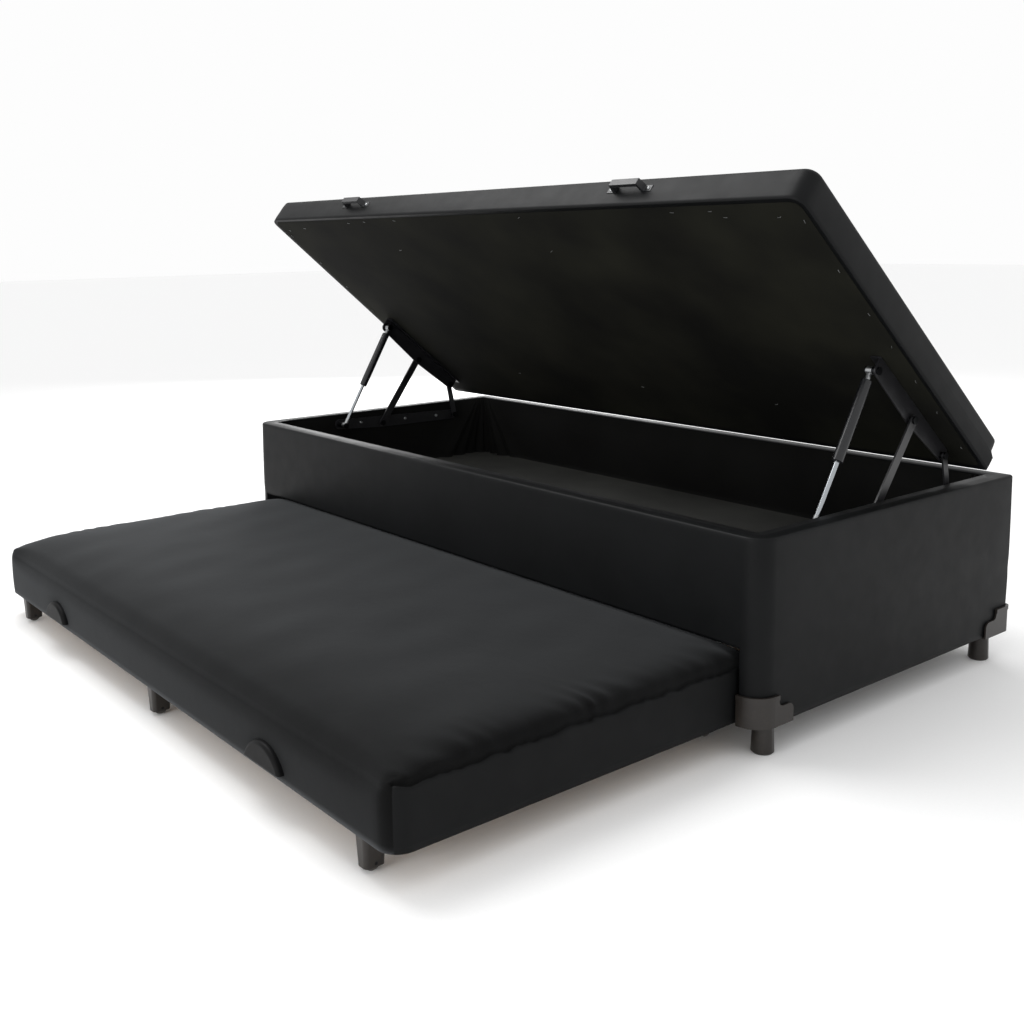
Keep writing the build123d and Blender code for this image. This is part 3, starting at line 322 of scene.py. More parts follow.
def moulded_plastic(made, colour, roughness, scuff, shine=0.42):
    """Injection moulded plastic with a spark-eroded texture, dull, and scuffed paler where feet
    and hands touch it."""
    made.even({"Specular IOR Level": shine, "IOR": 1.49})
    rubbed = made.noise(14, detail=6, roughness=0.7)
    made.tint(rubbed, colour, shade(colour, scuff), between=(0.5, 0.85))
    made.gloss(rubbed, roughness - 0.08, roughness + 0.12)
    # The mould's texture is about 0.2 mm across, and is drawn at 1 mm to show in the render.
    made.bump(made.noise(1.0, detail=2), depth=0.08, strength=0.4)


def studio_paint(made, colour):
    """A studio floor, rolled with matt pale emulsion: the roller leaves a faint stipple."""
    made.even({"Specular IOR Level": 0.2})
    stipple = made.noise(6)
    made.tint(stipple, shade(colour, 0.985), colour)
    made.gloss(stipple, 0.8, 0.9)
    made.bump(stipple, depth=0.05, strength=0.2)


def finish(name):
    """One of the bed's finishes, made the first time that it is asked for."""
    found = bpy.data.materials.get(name)
    if found:
        return found
    tints = bpy.context.scene.bed_colours
    # Painted light: the well's floor panel takes the rubbed liner colour nine times over. This is
    # a lit copy of the wall cloth, standing in for light falling on the floor from above.
    painted_light_floor_liner = shade(tints.liner_worn_and_floor_light, 9)
    recipes = {
        "box_leather": (synthetic_leather, tints.leather, 0.5),
        "end_leather": (synthetic_leather, shade(tints.leather, 0.75), 0.6),
        "sanded_suede": (suede_cloth, tints.suede),
        "spunbond_lining": (spunbond_lining, tints.lining, tints.lining_warm),
        "liner_spunbond": (spunbond_lining, tints.liner, tints.liner_worn_and_floor_light),
        "liner_floor_painted_light": (spunbond_lining, shade(painted_light_floor_liner, 0.6), painted_light_floor_liner),
        "sawn_pine": (sawn_wood, tints.pine, shade(tints.pine, 0.62)),
        "stained_pine": (sawn_wood, tints.stain, shade(tints.stain, 0.6)),
        "pressed_board": (pressed_board, tints.board),
        "powder_coated_steel": (powder_coated_steel, tints.steel, 0.3),
        "strut_enamel": (powder_coated_steel, tints.enamel, 0.24),
        "bright_zinc_steel": (zinc_plated_steel, tints.zinc),
        "black_zinc_steel": (zinc_plated_steel, tints.pins),
        "chromed_rod_steel": (chromed_rod_steel, tints.chrome),
        "guard_polypropylene": (moulded_plastic, tints.guard, 0.36, 1.9),
        "handle_polypropylene": (moulded_plastic, tints.handle, 0.36, 1.6),
        "pull_polypropylene": (moulded_plastic, tints.pull, 0.5, 1.5, 0.1),
        "moulded_nylon": (moulded_plastic, tints.nylon, 0.4, 1.4),
        "studio_paint": (studio_paint, tints.floor),
    }
    maker, *values = recipes[name]
    made = Surface(name)
    maker(made, *values)
    return made.material


# Mesh making


def put(name, data):
    """A new object in the scene."""
    made = bpy.data.objects.new(name, data)
    bpy.context.scene.collection.objects.link(made)
    return made


def mesh_piece(name, points, faces, finish_name, body):
    """A new mesh object, shaded smooth, that rides on a CAD body."""
    mesh = bpy.data.meshes.new(name)
    mesh.from_pydata([tuple(point) for point in points], [], faces)
    mesh.materials.append(finish(finish_name))
    mesh.polygons.foreach_set("use_smooth", [True] * len(mesh.polygons))
    mesh.update()
    piece = put(name, mesh)
    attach(piece, body)
    return piece


def mm(*sizes_in_mm):
    """Sizes in millimetres as a list in metres."""
    return [size * MM for size in sizes_in_mm]


def halves(low, high):
    """Half of a box's length along the bed, and half of its width across it."""
    return (high.x - low.x) / 2, (high.y - low.y) / 2


def between(start, end, share):
    """The point at one share of the way from one point to another."""
    return tuple(near + (far - near) * share for near, far in zip(start, end))


def places(half, edge, pitch):
    """Places across one width: close together by its two edges, then one pitch apart."""
    inner = half - edge[-1]
    count = max(2, round(2 * inner / pitch))
    middle = [inner * (2 * step / count - 1) for step in range(count + 1)]
    return [step - half for step in edge[:-1]] + middle + [half - step for step in edge[-2::-1]]


def row_faces(count, rows, closed=True):
    """Faces between rows of points. In closed rows the last point meets the first."""
    faces = []
    for near in range(0, (rows - 1) * count, count):
        for place in range(count if closed else count - 1):
            after = (place + 1) % count
            faces.append((near + place, near + after, near + count + after, near + count + place))
    return faces


def tube_faces(sides, rings):
    """Faces of a tube of rings, closed at both ends."""
    last = (rings - 1) * sides
    ends = [tuple(range(sides - 1, -1, -1)), tuple(range(last, last + sides))]
    return row_faces(sides, rings) + ends


def round_corners(x, y, half_x, half_y, front, rear):
    """Bends a rectangle's corners to quarter circles, with one radius in front, one behind."""
    radius = np.where(y < 0, front, rear)
    across = np.clip((np.abs(x) - half_x + radius) / radius, 0, 1)
    down = np.clip((np.abs(y) - half_y + radius) / radius, 0, 1)
    both = (across > 0) & (down > 0)
    bent_x = np.sign(x) * (half_x - radius + radius * across * np.sqrt(1 - down**2 / 2))
    bent_y = np.sign(y) * (half_y - radius + radius * down * np.sqrt(1 - across**2 / 2))
    return np.where(both, bent_x, x), np.where(both, bent_y, y)


def shell(xs, ys, depths):
    """The top and walls of a block as one grid. Returns flat x and y, the depth down the wall
    (0 on the top), and the faces."""
    columns, last = len(xs), len(xs) * len(ys) - 1
    points = [(x, y, 0.0) for y in ys for x in xs]
    faces = row_faces(columns, len(ys), closed=False)
    rim = [*range(columns - 1), *range(columns - 1, last, columns)]
    rim += [last - index for index in rim]
    above = rim
    for depth in depths:
        below = range(len(points), len(points) + len(rim))
        points += [(*points[index][:2], depth) for index in rim]
        faces += zip(above, below, [*below[1:], below[0]], [*above[1:], above[0]])
        above = below
    return np.array(points), faces


def edge_distance(x, y, half_x, half_y):
    """How far each point of a block's top lies from its nearest side."""
    return np.minimum(half_x - np.abs(x), half_y - np.abs(y))


def roll(run, radius):
    """How far in from the side and how far down a cloth lies that rolls over an edge. The run is
    measured along the cloth, inward from the middle of the roll."""
    quarter = math.pi / 4 * radius
    angle = np.clip((run + quarter) / radius, 0, math.pi / 2)
    inset = radius * (1 - np.cos(angle)) + np.maximum(run - quarter, 0)
    drop = radius * (1 - np.sin(angle)) + np.maximum(-run - quarter, 0)
    return inset, drop


def wrapped(flat, half, side, rolls, corners, turn_under):
    """Rolls a block's flat cover over its edges and rounds its corners. The rolls are the radii
    at the ends, the front and the rear. Returns x, y and the height over the block's base."""
    x, y, depth = flat
    half_x, half_y = half
    end_roll = np.broadcast_to(rolls[0], x.shape)
    side_roll = np.where(y < 0, rolls[1], rolls[2])
    to_end, to_side = half_x - np.abs(x), half_y - np.abs(y)
    on_wall = depth > 0
    down = np.minimum(depth, side)
    under = np.clip(depth - side, 0, turn_under)
    share = down / side
    belly = sizes().wall_swell * np.where(on_wall, 1 - np.sin(math.pi * share) ** 0.7, 1.0)
    near = np.minimum(to_end, to_side)
    insets, levels, drops = [], [], []
    for distance, radius in ((to_end, end_roll), (to_side, side_roll)):
        fallen = -down * (side - (1 - math.pi / 4) * radius) / side
        middle, _ = roll(0, radius)
        lean = np.where(on_wall, roll(fallen, radius)[0] / middle, 1.0)
        at_wall = on_wall & (distance <= TOUCHING)
        drops.append(roll(np.where(at_wall, fallen, distance), radius)[1])
        for run, kept in ((distance, insets), (near, levels)):
            fading = np.exp(-np.maximum(run - radius, 0) / (5 * radius))
            spare = (roll(run, radius)[0] - run) * fading
            kept.append(run + spare * lean + belly + under)
    flat_x = np.sign(x) * np.maximum(half_x - insets[0], 0)
    flat_y = np.sign(y) * np.maximum(half_y - insets[1], 0)
    front, rear = (np.maximum(size - levels[1], TIGHTEST) for size in corners)
    bent_x, bent_y = round_corners(
        flat_x, flat_y, half_x - levels[0], half_y - levels[1], front, rear
    )
    return bent_x, bent_y, side - np.maximum(drops[0], drops[1])


def fade(distance, reach, power=1):
    """Falls from 1 towards 0 with the distance, over a reach in millimetres."""
    return np.exp(-((distance / (reach * MM)) ** power))


def waver(along, beat, across, drift, sway):
    """A wave, from -1 to 1, whose beat drifts. The beat and the drift are in millimetres."""
    shift = sway * np.sin(math.tau * across / (drift * MM))
    return np.sin(math.tau * along / (beat * MM) + shift)


def ripple(x, y, length, seed):
    """Slow waves with no fixed beat, from -1 to 1, for cloth that isn't quite taut."""
    rng = random.Random(seed)
    total = np.zeros_like(x)
    for _ in range(7):
        turn = rng.uniform(0, math.tau)
        beat = math.tau / length * rng.uniform(0.6, 1.7)
        phase = rng.uniform(0, math.tau)
        total = total + np.sin(beat * (x * math.cos(turn) + y * math.sin(turn)) + phase)
    return total / 4


# Blender's cloth settings for leather and suede over foam

UPHOLSTERY_CLOTH = {
    "quality": 6,
    "mass": 0.35,
    "tension_stiffness": 18,
    "compression_stiffness": 14,
    "shear_stiffness": 8,
    "bending_stiffness": 1.2,
    "air_damping": 3,
    "vertex_group_mass": "pinned",
    "use_pressure": True,
}


def puff(piece, pinned, pressure, cap, frames, slack):
    """Blows cloth out over its padding by simulation. Pinned points stay, and the others move by
    the cap at most."""
    mesh, scene = piece.data, bpy.context.scene
    group = piece.vertex_groups.new(name="pinned")
    group.add(np.flatnonzero(pinned).tolist(), 1.0, "REPLACE")
    before, after = (np.empty(len(mesh.vertices) * 3) for _ in range(2))
    mesh.vertices.foreach_get("co", before)
    cloth = piece.modifiers.new("cloth", "CLOTH")
    for setting, value in UPHOLSTERY_CLOTH.items():
        setattr(cloth.settings, setting, value)
    cloth.settings.uniform_pressure_force = pressure
    cloth.settings.shrink_min = -slack
    cloth.settings.effector_weights.gravity = 0
    cloth.collision_settings.use_collision = False
    for step in range(1, frames + 1):
        scene.frame_set(step)
    settled = piece.evaluated_get(bpy.context.evaluated_depsgraph_get())
    settled.data.vertices.foreach_get("co", after)
    piece.modifiers.remove(cloth)
    scene.frame_set(1)
    move = (after - before).reshape(-1, 3)
    far = np.linalg.norm(move, axis=1, keepdims=True)
    move *= np.minimum(1, cap / np.maximum(far, TOUCHING))
    mesh.vertices.foreach_set("co", before + move.ravel())
    mesh.update()


def wire(path, radius):
    """A round wire through vectors in a line: its own points and faces."""
    sides = 5
    made = []
    for index, spot in enumerate(path):
        ahead = path[min(index + 1, len(path) - 1)] - path[max(index - 1, 0)]
        ahead.normalize()
        upright = abs(ahead.z) > 0.9
        side = ahead.orthogonal() if upright else ahead.cross(Vector((0, 0, 1)))
        side.normalize()
        upward = side.cross(ahead)
        for turn in range(sides):
            angle = math.tau * turn / sides
            made.append(spot + (side * math.cos(angle) + upward * math.sin(angle)) * radius)
    return made, tube_faces(sides, len(path))


def turned(profile, matrix):
    """A profile of (radius, height) pairs turned round an axis: its own points and faces."""
    sides = 16
    points = []
    for radius, height in profile:
        for turn in range(sides):
            angle = math.tau * turn / sides
            spot = Vector((radius * math.cos(angle), radius * math.sin(angle), height))
            points.append(matrix @ spot)
    return points, tube_faces(sides, len(profile))


def joined(groups):
    """Several lists of points and faces as one."""
    points, faces = [], []
    for group_points, group_faces in groups:
        offset = len(points)
        points += group_points
        faces += [tuple(index + offset for index in face) for face in group_faces]
    return points, faces


def facing(place, direction):
    """A frame at a place whose Z points one way."""
    turn = Vector(direction).to_track_quat("Z", "Y").to_matrix().to_4x4()
    return Matrix.Translation(Vector(place)) @ turn


# Sizes and colours that a user would change


def length(name, description, millimetres):
    """A length property, in metres, with its default given in millimetres."""
    return FloatProperty(
        name=name, description=description, default=millimetres * MM, unit="LENGTH", min=0
    )


def tint(name, description, code):
    """A colour property, with its default given in sRGB hex."""
    return FloatVectorProperty(
        name=name, description=description, default=linear(code), subtype="COLOR", min=0, max=1
    )


class BedSizes(bpy.types.PropertyGroup):
    """Sizes of the upholstery and its small fittings."""

    wall_swell: length("Wall swell", "How far the padded walls stand out between edges", 2.0)
    lid_roll: length("Lid roll", "Radius of the lid's upholstered edges", 9)
    lid_proud: length("Lid padding", "How far the lid's front and rear padding stands out", 2.5)
    front_roll: length("Front roll", "Radius of the trundle's soft front edge", 42)
    end_roll: length("End roll", "Radius of the trundle's seamed end edges", 9)
    pucker: length("Pucker", "Depth of the puckers along the trundle's end seams", 3.8)
    staple_pitch: length("Staple spacing", "Distance between the lining's staples", 118)
    staple_width: length("Staple width", "Width of each staple across its crown", 8)
    fold_reach: length("Fold reach", "How far the liner's folds spread at the floor", 185)
    fold_depth: length("Fold depth", "How far the liner's folds stand out at the floor", 20)


class BedColours(bpy.types.PropertyGroup):
    """Base colours of the finishes."""

    leather: tint("Leather", "Synthetic leather of the box and the lid", "0C0D0E")
    suede: tint("Suede", "Suede cloth of the trundle's top", "080808")
    lining: tint("Lining", "Non-woven lining, in its darker parts", "0B0B08")
    lining_warm: tint("Warm lining", "Non-woven lining, in its paler parts", "1E1E17")
    liner: tint("Well liner", "Cloth liner of the well, in its darker parts", "090908")
    # Nine times this colour also gives the well floor's painted light.
    liner_worn_and_floor_light: tint("Rubbed liner", "Cloth liner of the well, where it is rubbed", "121211")
    steel: tint("Coated steel", "Powder coat of the lift mechanism", "1C1C1E")
    enamel: tint("Enamel", "Enamel of the struts' cylinders", "101114")
    zinc: tint("Zinc", "Zinc plate of the sockets and screws", "A9ABAC")
    pins: tint("Pins", "Black-passivated zinc of the pins and axles", "2C2D2F")
    chrome: tint("Chrome", "Hard chrome of the piston rods", "A8ACB0")
    guard: tint("Guards", "Moulded guards, feet and caster hoods", "211D1A")
    handle: tint("Handles", "Moulded handles of the lid", "1A1B1D")
    pull: tint("Pulls", "Moulded cup pulls of the trundle", "0A0A0B")
    nylon: tint("Wheels", "Nylon of the wheels", "4A4744")
    pine: tint("Timber", "Early wood of the sawn timber", "C9A878")
    stain: tint("Stain", "Black-stained timber of the box", "14110F")
    board: tint("Board", "Pressed board of the decks", "6E4F33")
    floor: tint("Floor", "Painted studio floor", "FAFAFA")


def sizes():
    """The scene's bed sizes."""
    return bpy.context.scene.bed_sizes


# The stage


class BED_OT_stage(bpy.types.Operator):
    """Lays the studio floor, hangs the soft lights and sets the camera"""

    bl_idname = "bed.stage"
    bl_label = "Studio stage"

    def execute(self, context):
        scene = context.scene
        reach = 30
        corners = [(x * reach, y * reach, 0) for x, y in ((-1, -1), (1, -1), (1, 1), (-1, 1))]
        mesh = bpy.data.meshes.new("studio_floor")
        mesh.from_pydata(corners, [], [(0, 1, 2, 3)])
        mesh.materials.append(finish("studio_paint"))
        floor = put("studio_floor", mesh)
        scene.view_settings.view_transform = "Standard"
        self.lights(scene)
        self.camera(scene)
        return {"FINISHED"}

    def lights(self, scene):
        """A pale room with three soft boxes: one above, a smaller one low in front on the right,
        and a large one behind on the left, which brings out the rims and the nap."""
        world = bpy.data.worlds.new("studio_air")
        world.use_nodes = True
        air = world.node_tree.nodes["Background"].inputs
        air["Color"].default_value = rgba(linear("FDFDFD"))
        air["Strength"].default_value = 1.0
        scene.world = world
        # Each box has a place, a target, a width in metres and a power in watts.
        boxes = (
            ("soft_box_above", (-0.9, -0.5, 2.9), (0.4, 0.1, 0.9), 1.9, 55),
            ("soft_box_right", (1.0, -3.4, 1.0), (0.9, 0, 0.3), 1.2, 24),
            ("soft_box_behind", (-3.9, 3.2, 1.6), (0, 0.1, 0.3), 2.6, 80),
        )
        for name, place, target, width, power in boxes:
            light = bpy.data.lights.new(name, "AREA")
            light.size = width
            light.energy = power
            lamp = put(name, light)
            lamp.visible_camera = False
            lamp.matrix_world = facing(place, Vector(place) - Vector(target))

    def camera(self, scene):
        """The photograph's view, from its fitted place, direction and lens."""
        camera = bpy.data.cameras.new("photo_camera")
        camera.sensor_width = SENSOR
        camera.lens = FOCAL_PIXELS / FRAME_PIXELS * SENSOR
        camera.shift_x = 0.5 - OPTICAL_CENTRE[0] / FRAME_PIXELS
        camera.shift_y = OPTICAL_CENTRE[1] / FRAME_PIXELS - 0.5
        holder = put("photo_camera", camera)
        holder.matrix_world = Matrix.Translation(CAMERA_AT)
        turns = ((CAMERA_AZIMUTH, "Z"), (90 - CAMERA_ELEVATION, "X"), (CAMERA_ROLL, "Z"))
        for degrees, axis in turns:
            holder.matrix_world @= Matrix.Rotation(math.radians(degrees), 4, axis)
        scene.camera = holder


# Upholstery


class BED_OT_box_cover(bpy.types.Operator):
    """Wraps the box in padded leather, turned over its rim and round the trundle's opening"""

    bl_idname = "bed.box_cover"
    bl_label = "Box cover"

    def execute(self, context):
        half_x, half_y = halves(BOX_LOW, BOX_HIGH)
        outline = self.outline(half_x, half_y, *BOX_CORNERS)
        rows = self.wall(outline) + self.rim(outline)
        count = len(outline)
        faces = []
        for face in row_faces(count, len(rows)):
            row, place = divmod(face[0], count)
            start, end = outline[place], outline[face[1] % count]
            doorway = max(abs(start[0]), abs(end[0])) <= JAMB + TOUCHING and start[1] < 0
            if not doorway or rows[row + 1][place][2] > DOOR_TOP + TOUCHING:
                faces.append(face)
        skin = [point for row in rows for point in row]
        points, faces = joined([(skin, faces), *self.returns(half_y)])
        points = [(x, y + BOX_MIDDLE.y, z) for x, y, z in points]
        piece = mesh_piece("box_upholstery", points, faces, "box_leather", "base")
        weld = piece.modifiers.new("weld", "WELD")
        weld.merge_threshold = 0.2 * MM
        thick = piece.modifiers.new("leather_thickness", "SOLIDIFY")
        thick.thickness = 1.2 * MM
        thick.offset = -1
        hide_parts("box_cover")
        return {"FINISHED"}

    def outline(self, half_x, half_y, front, rear):
        """The box's plan from the opening's left jamb, with each point's outward direction."""
        pitch, steps = 60 * MM, 8

        def run(start, end, normal):
            count = max(1, round(math.dist(start, end) / pitch))
            return [(*between(start, end, step / count), *normal) for step in range(count)]

        spot, normal = (JAMB, -half_y), (0, -1)
        points = run((-JAMB, -half_y), spot, normal)
        corners = ((1, -1, front), (1, 1, rear), (-1, 1, rear), (-1, -1, front))
        for quarters, (side, end, radius) in enumerate(corners, -1):
            x, y = side * (half_x - radius), end * (half_y - radius)
            arc = []
            for step in range(steps + 1):
                angle = math.pi / 2 * (quarters + step / steps)
                nx, ny = math.cos(angle), math.sin(angle)
                arc.append((x + radius * nx, y + radius * ny, nx, ny))
            points += run(spot, arc[0][:2], normal) + arc[:-1]
            spot, normal = arc[-1][:2], arc[-1][2:]
        return points + run(spot, (-JAMB, -half_y), normal)

    def wall(self, outline):
        """The wall's rings, from its lower edge to its rim. The padding stands out between the
        two, and less along the top of the opening."""
        low, high, edge = BOX_LOW.z, BOX_HIGH.z - RIM, 12 * MM
        levels = [(0.0, low), (0.0, low + edge)]
        steps = 12
        for step in range(1, steps):
            share = step / steps
            height = low + edge + share * (high - low - 2 * edge)
            if abs(height - DOOR_TOP) > edge:
                levels.append((math.sin(math.pi * share), height))
        levels += [(0.55, DOOR_TOP), (0.6, DOOR_TOP + 5 * MM), (0.0, high - 6 * MM)]
        levels.sort(key=lambda level: level[1])
        swell = sizes().wall_swell
        return [self.ring(outline, (bulge - 1) * swell, height) for bulge, height in levels]

    def rim(self, outline):
        """The rings of the rolled rim, of the leather that runs in to the well, and of its hem."""
        top, swell = BOX_HIGH.z, sizes().wall_swell
        rows = []
        for angle in (0, math.pi / 6, math.pi / 3, math.pi / 2):
            out = -swell - RIM * (1 - math.cos(angle))
            rows.append(self.ring(outline, out, top - RIM + RIM * math.sin(angle)))
        lip = 0.35 * MM
        well_x, well_y = WELL_HIGH.x - lip, (WELL_HIGH.y - WELL_LOW.y) / 2 - lip
        edge = rows[-1]
        well = [(min(max(x, -well_x), well_x), min(max(y, -well_y), well_y)) for x, y, _ in edge]
        for share, sag in ((0.5, 0.4 * MM), (1, 0)):
            pairs = zip(edge, well)
            rows.append([(*between(spot[:2], inner, share), top - sag) for spot, inner in pairs])
        rows.append([(x, y, top - 5 * MM) for x, y, _ in rows[-1]])
        return rows

    def ring(self, outline, out, height):
        """The plan at one height, moved outward."""
        return [(x + nx * out, y + ny * out, height) for x, y, nx, ny in outline]

    def returns(self, half_y):
        """The leather turned in round the trundle's opening."""
        face = sizes().wall_swell - half_y
        doorway = ((-JAMB, BOX_LOW.z), (-JAMB, DOOR_TOP), (JAMB, DOOR_TOP), (JAMB, BOX_LOW.z))
        strips = []
        for start, end, depth in zip(doorway, doorway[1:], mm(130, 45, 130)):
            near = [(x, face, z) for x, z in (start, end)]
            far = [(x, depth - half_y, z) for x, z in (end, start)]
            strips.append((near + far, [(0, 1, 2, 3)]))
        return strips


class BED_OT_lid_cover(bpy.types.Operator):
    """Stretches leather over the lid's padding and staples it underneath"""

    bl_idname = "bed.lid_cover"
    bl_label = "Lid cover"

    def execute(self, context):
        proud = sizes().lid_proud
        half_x, half_y = halves(LID_LOW, LID_HIGH)
        half = (half_x + 0.5 * proud, half_y + proud)
        wall = LID_HIGH.z - LID_LOW.z - 1 * MM
        crown, hem, fold = 5 * MM, 14 * MM, 13 * MM
        xs, ys = (places(size, mm(0, 3, 6, 10, 16, 26, 42), 24 * MM) for size in half)
        depths = mm(3, 6, 9, 13)
        depths += [fold + (wall - fold) * step / 7 for step in range(1, 8)]
        depths += [wall + depth for depth in mm(2, 5, 9, 14)]
        base, faces = shell(xs, ys, depths)
        x, y, depth = base.T
        rolls = (sizes().lid_roll,) * 3
        bent_x, bent_y, height = wrapped(base.T, half, wall, rolls, LID_CORNERS, hem)
        inward = edge_distance(x, y, *half)
        loose = 1 - fade(inward, 24)
        rise = (crown + ripple(x, y, 260 * MM, 4) * 0.7 * MM) * loose
        # The hem is drawn up a little under the frame.
        drawn = np.clip(depth - wall, 0, 9 * MM) * 0.16
        height = np.where(depth > 0, height + drawn, height + rise)
        # The rear wall is pulled flat, and the front one keeps slight waves.
        flat = (depth > wall / 2) & (depth <= wall) & (y > 0)
        bent_y = np.where(flat, half[1], bent_y)
        waved = (depth > 12 * MM) & (depth < wall - 12 * MM) & (y < 0)
        wave = ripple(x + y, 3 * depth, 150 * MM, 8) * 0.5 * MM
        bent_y = np.where(waved, bent_y + wave, bent_y)
        points = [LID @ Vector(point) for point in zip(bent_x, bent_y, height)]
        piece = mesh_piece("lid_upholstery", points, faces, "box_leather", "lid")
        pinned = (depth > 0) | (inward < 2 * MM)
        puff(piece, pinned, pressure=1.2, cap=5 * MM, frames=12, slack=0.004)
        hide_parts("lid_cover", "lid_pad")
        return {"FINISHED"}


class BED_OT_trundle_cover(bpy.types.Operator):
    """Covers the trundle: suede over its top and soft front edge, sewn to leather at its ends"""

    bl_idname = "bed.trundle_cover"
    bl_label = "Trundle cover"

    def execute(self, context):
        half = halves(BAND_LOW, BAND_HIGH)
        side = BAND_HIGH.z - BAND_LOW.z
        edge = mm(0, 2.5, 6, 10, 15, 21, 28, 38, 52)
        xs, ys = places(half[0], edge, 16 * MM), places(half[1], edge, 8 * MM)
        fold = 38 * MM
        depths = mm(3, 6, 10, 15, 21, 28, 38)
        depths += [fold + (side - fold) * step / 5 for step in range(1, 6)]
        depths += [side + 6 * MM, side + 16 * MM]
        base, faces = shell(xs, ys, depths)
        x, y, depth = base.T
        to_end, to_side = half[0] - np.abs(x), half[1] - np.abs(y)
        end_roll = sizes().end_roll
        tight = end_roll * 1.4
        front_roll = tight + (sizes().front_roll - tight) * (1 - fade(to_end, 70, 1.5))
        rolls = (end_roll, front_roll, end_roll)
        bent_x, bent_y, height = wrapped(base.T, half, side, rolls, TRUNDLE_CORNERS, 16 * MM)
        soft = ripple(x, y, 230 * MM, 11) * 0.9 * MM * (1 - fade(to_side, 50))
        top = self.rise(y, to_end, to_side) + self.puckers(y, to_end, np.sign(x)) + soft
        height = height + np.where(depth > 0, 0, top) + self.seam(y, to_end, to_side, depth)
        crease = 3 * MM * fade(to_end, 4, 2) * (depth < 2 * MM)
        local = np.column_stack([bent_x - np.sign(x) * crease, bent_y, height])
        points = local + np.array([BAND_MIDDLE.x, BAND_MIDDLE.y, BAND_LOW.z])
        piece = mesh_piece(
            "trundle_upholstery", points, faces, "sanded_suede", "trundle"
        )
        piece.data.materials.append(finish("end_leather"))
        self.paint(piece, base, half)
        pinned = (depth > 24 * MM) | (to_end < 2 * MM)
        pinned |= (depth > 0) & (to_side < TOUCHING) & (y > 0)
        puff(piece, pinned, pressure=1.6, cap=6 * MM, frames=14, slack=0.006)
        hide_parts("trundle_top", "trundle_band", "trundle_pad")
        return {"FINISHED"}

    def rise(self, y, to_end, to_side):
        """The crown over the band: quick beside a seam, slow over the soft front edge."""
        seamed = []
        for far, slow in ((to_end, 0.15), (to_side, 0.02)):
            near = 0.5 * fade(far, 7) + (0.5 - slow) * fade(far, 26)
            seamed.append(1 - near - slow * fade(far, 90))
        soft = 1 - fade(to_side + math.pi / 4 * sizes().front_roll, 95, 1.5)
        crown = CROWN_HIGH.z - CROWN_LOW.z
        return crown * seamed[0] * np.where(y < 0, soft, seamed[1])

    def puckers(self, y, to_end, end):
        """Small gathers in the suede beside the seam at each end, and the crease at the seam."""
        slant = y + 0.45 * to_end * end
        coarse = waver(slant, 47, y, 210, 1.9)
        fine = waver(slant, 21, y, 133, 2.6)
        strength = 0.55 + 0.45 * np.sin(math.tau * y / (340 * MM) + end)
        near = fade(to_end, 22) * (1 - fade(to_end, 4))
        gathers = near * strength * (coarse + 0.5 * fine * fade(to_end, 12))
        return sizes().pucker * (gathers - 0.9 * fade(to_end, 4.5, 2))

    def seam(self, y, to_end, to_side, depth):
        """The end seam wanders up and down, and its two cloths stand up a little at the front."""
        wander = waver(y, 83, y, 190, 1.3) + 0.7 * waver(y, 37, y, 151, 2)
        at_seam = fade(to_end, 9, 2) * fade(depth, 12, 2)
        ear = 3.2 * MM * fade(np.hypot(to_end, to_side), 13, 2) * (y < 0)
        return sizes().pucker * 0.5 * wander * at_seam + ear * (depth < 8 * MM)

    def paint(self, piece, base, half):
        """Leather on the end and rear walls, suede on the top and the front."""
        for face in piece.data.polygons:
            corners = base[list(face.vertices)]
            on_wall = corners[:, 2].max() > 0
            at_end = np.abs(corners[:, 0]).min() > half[0] - TOUCHING
            at_rear = corners[:, 1].min() > half[1] - TOUCHING
            if on_wall and (at_end or at_rear):
                face.material_index = 1


# Linings


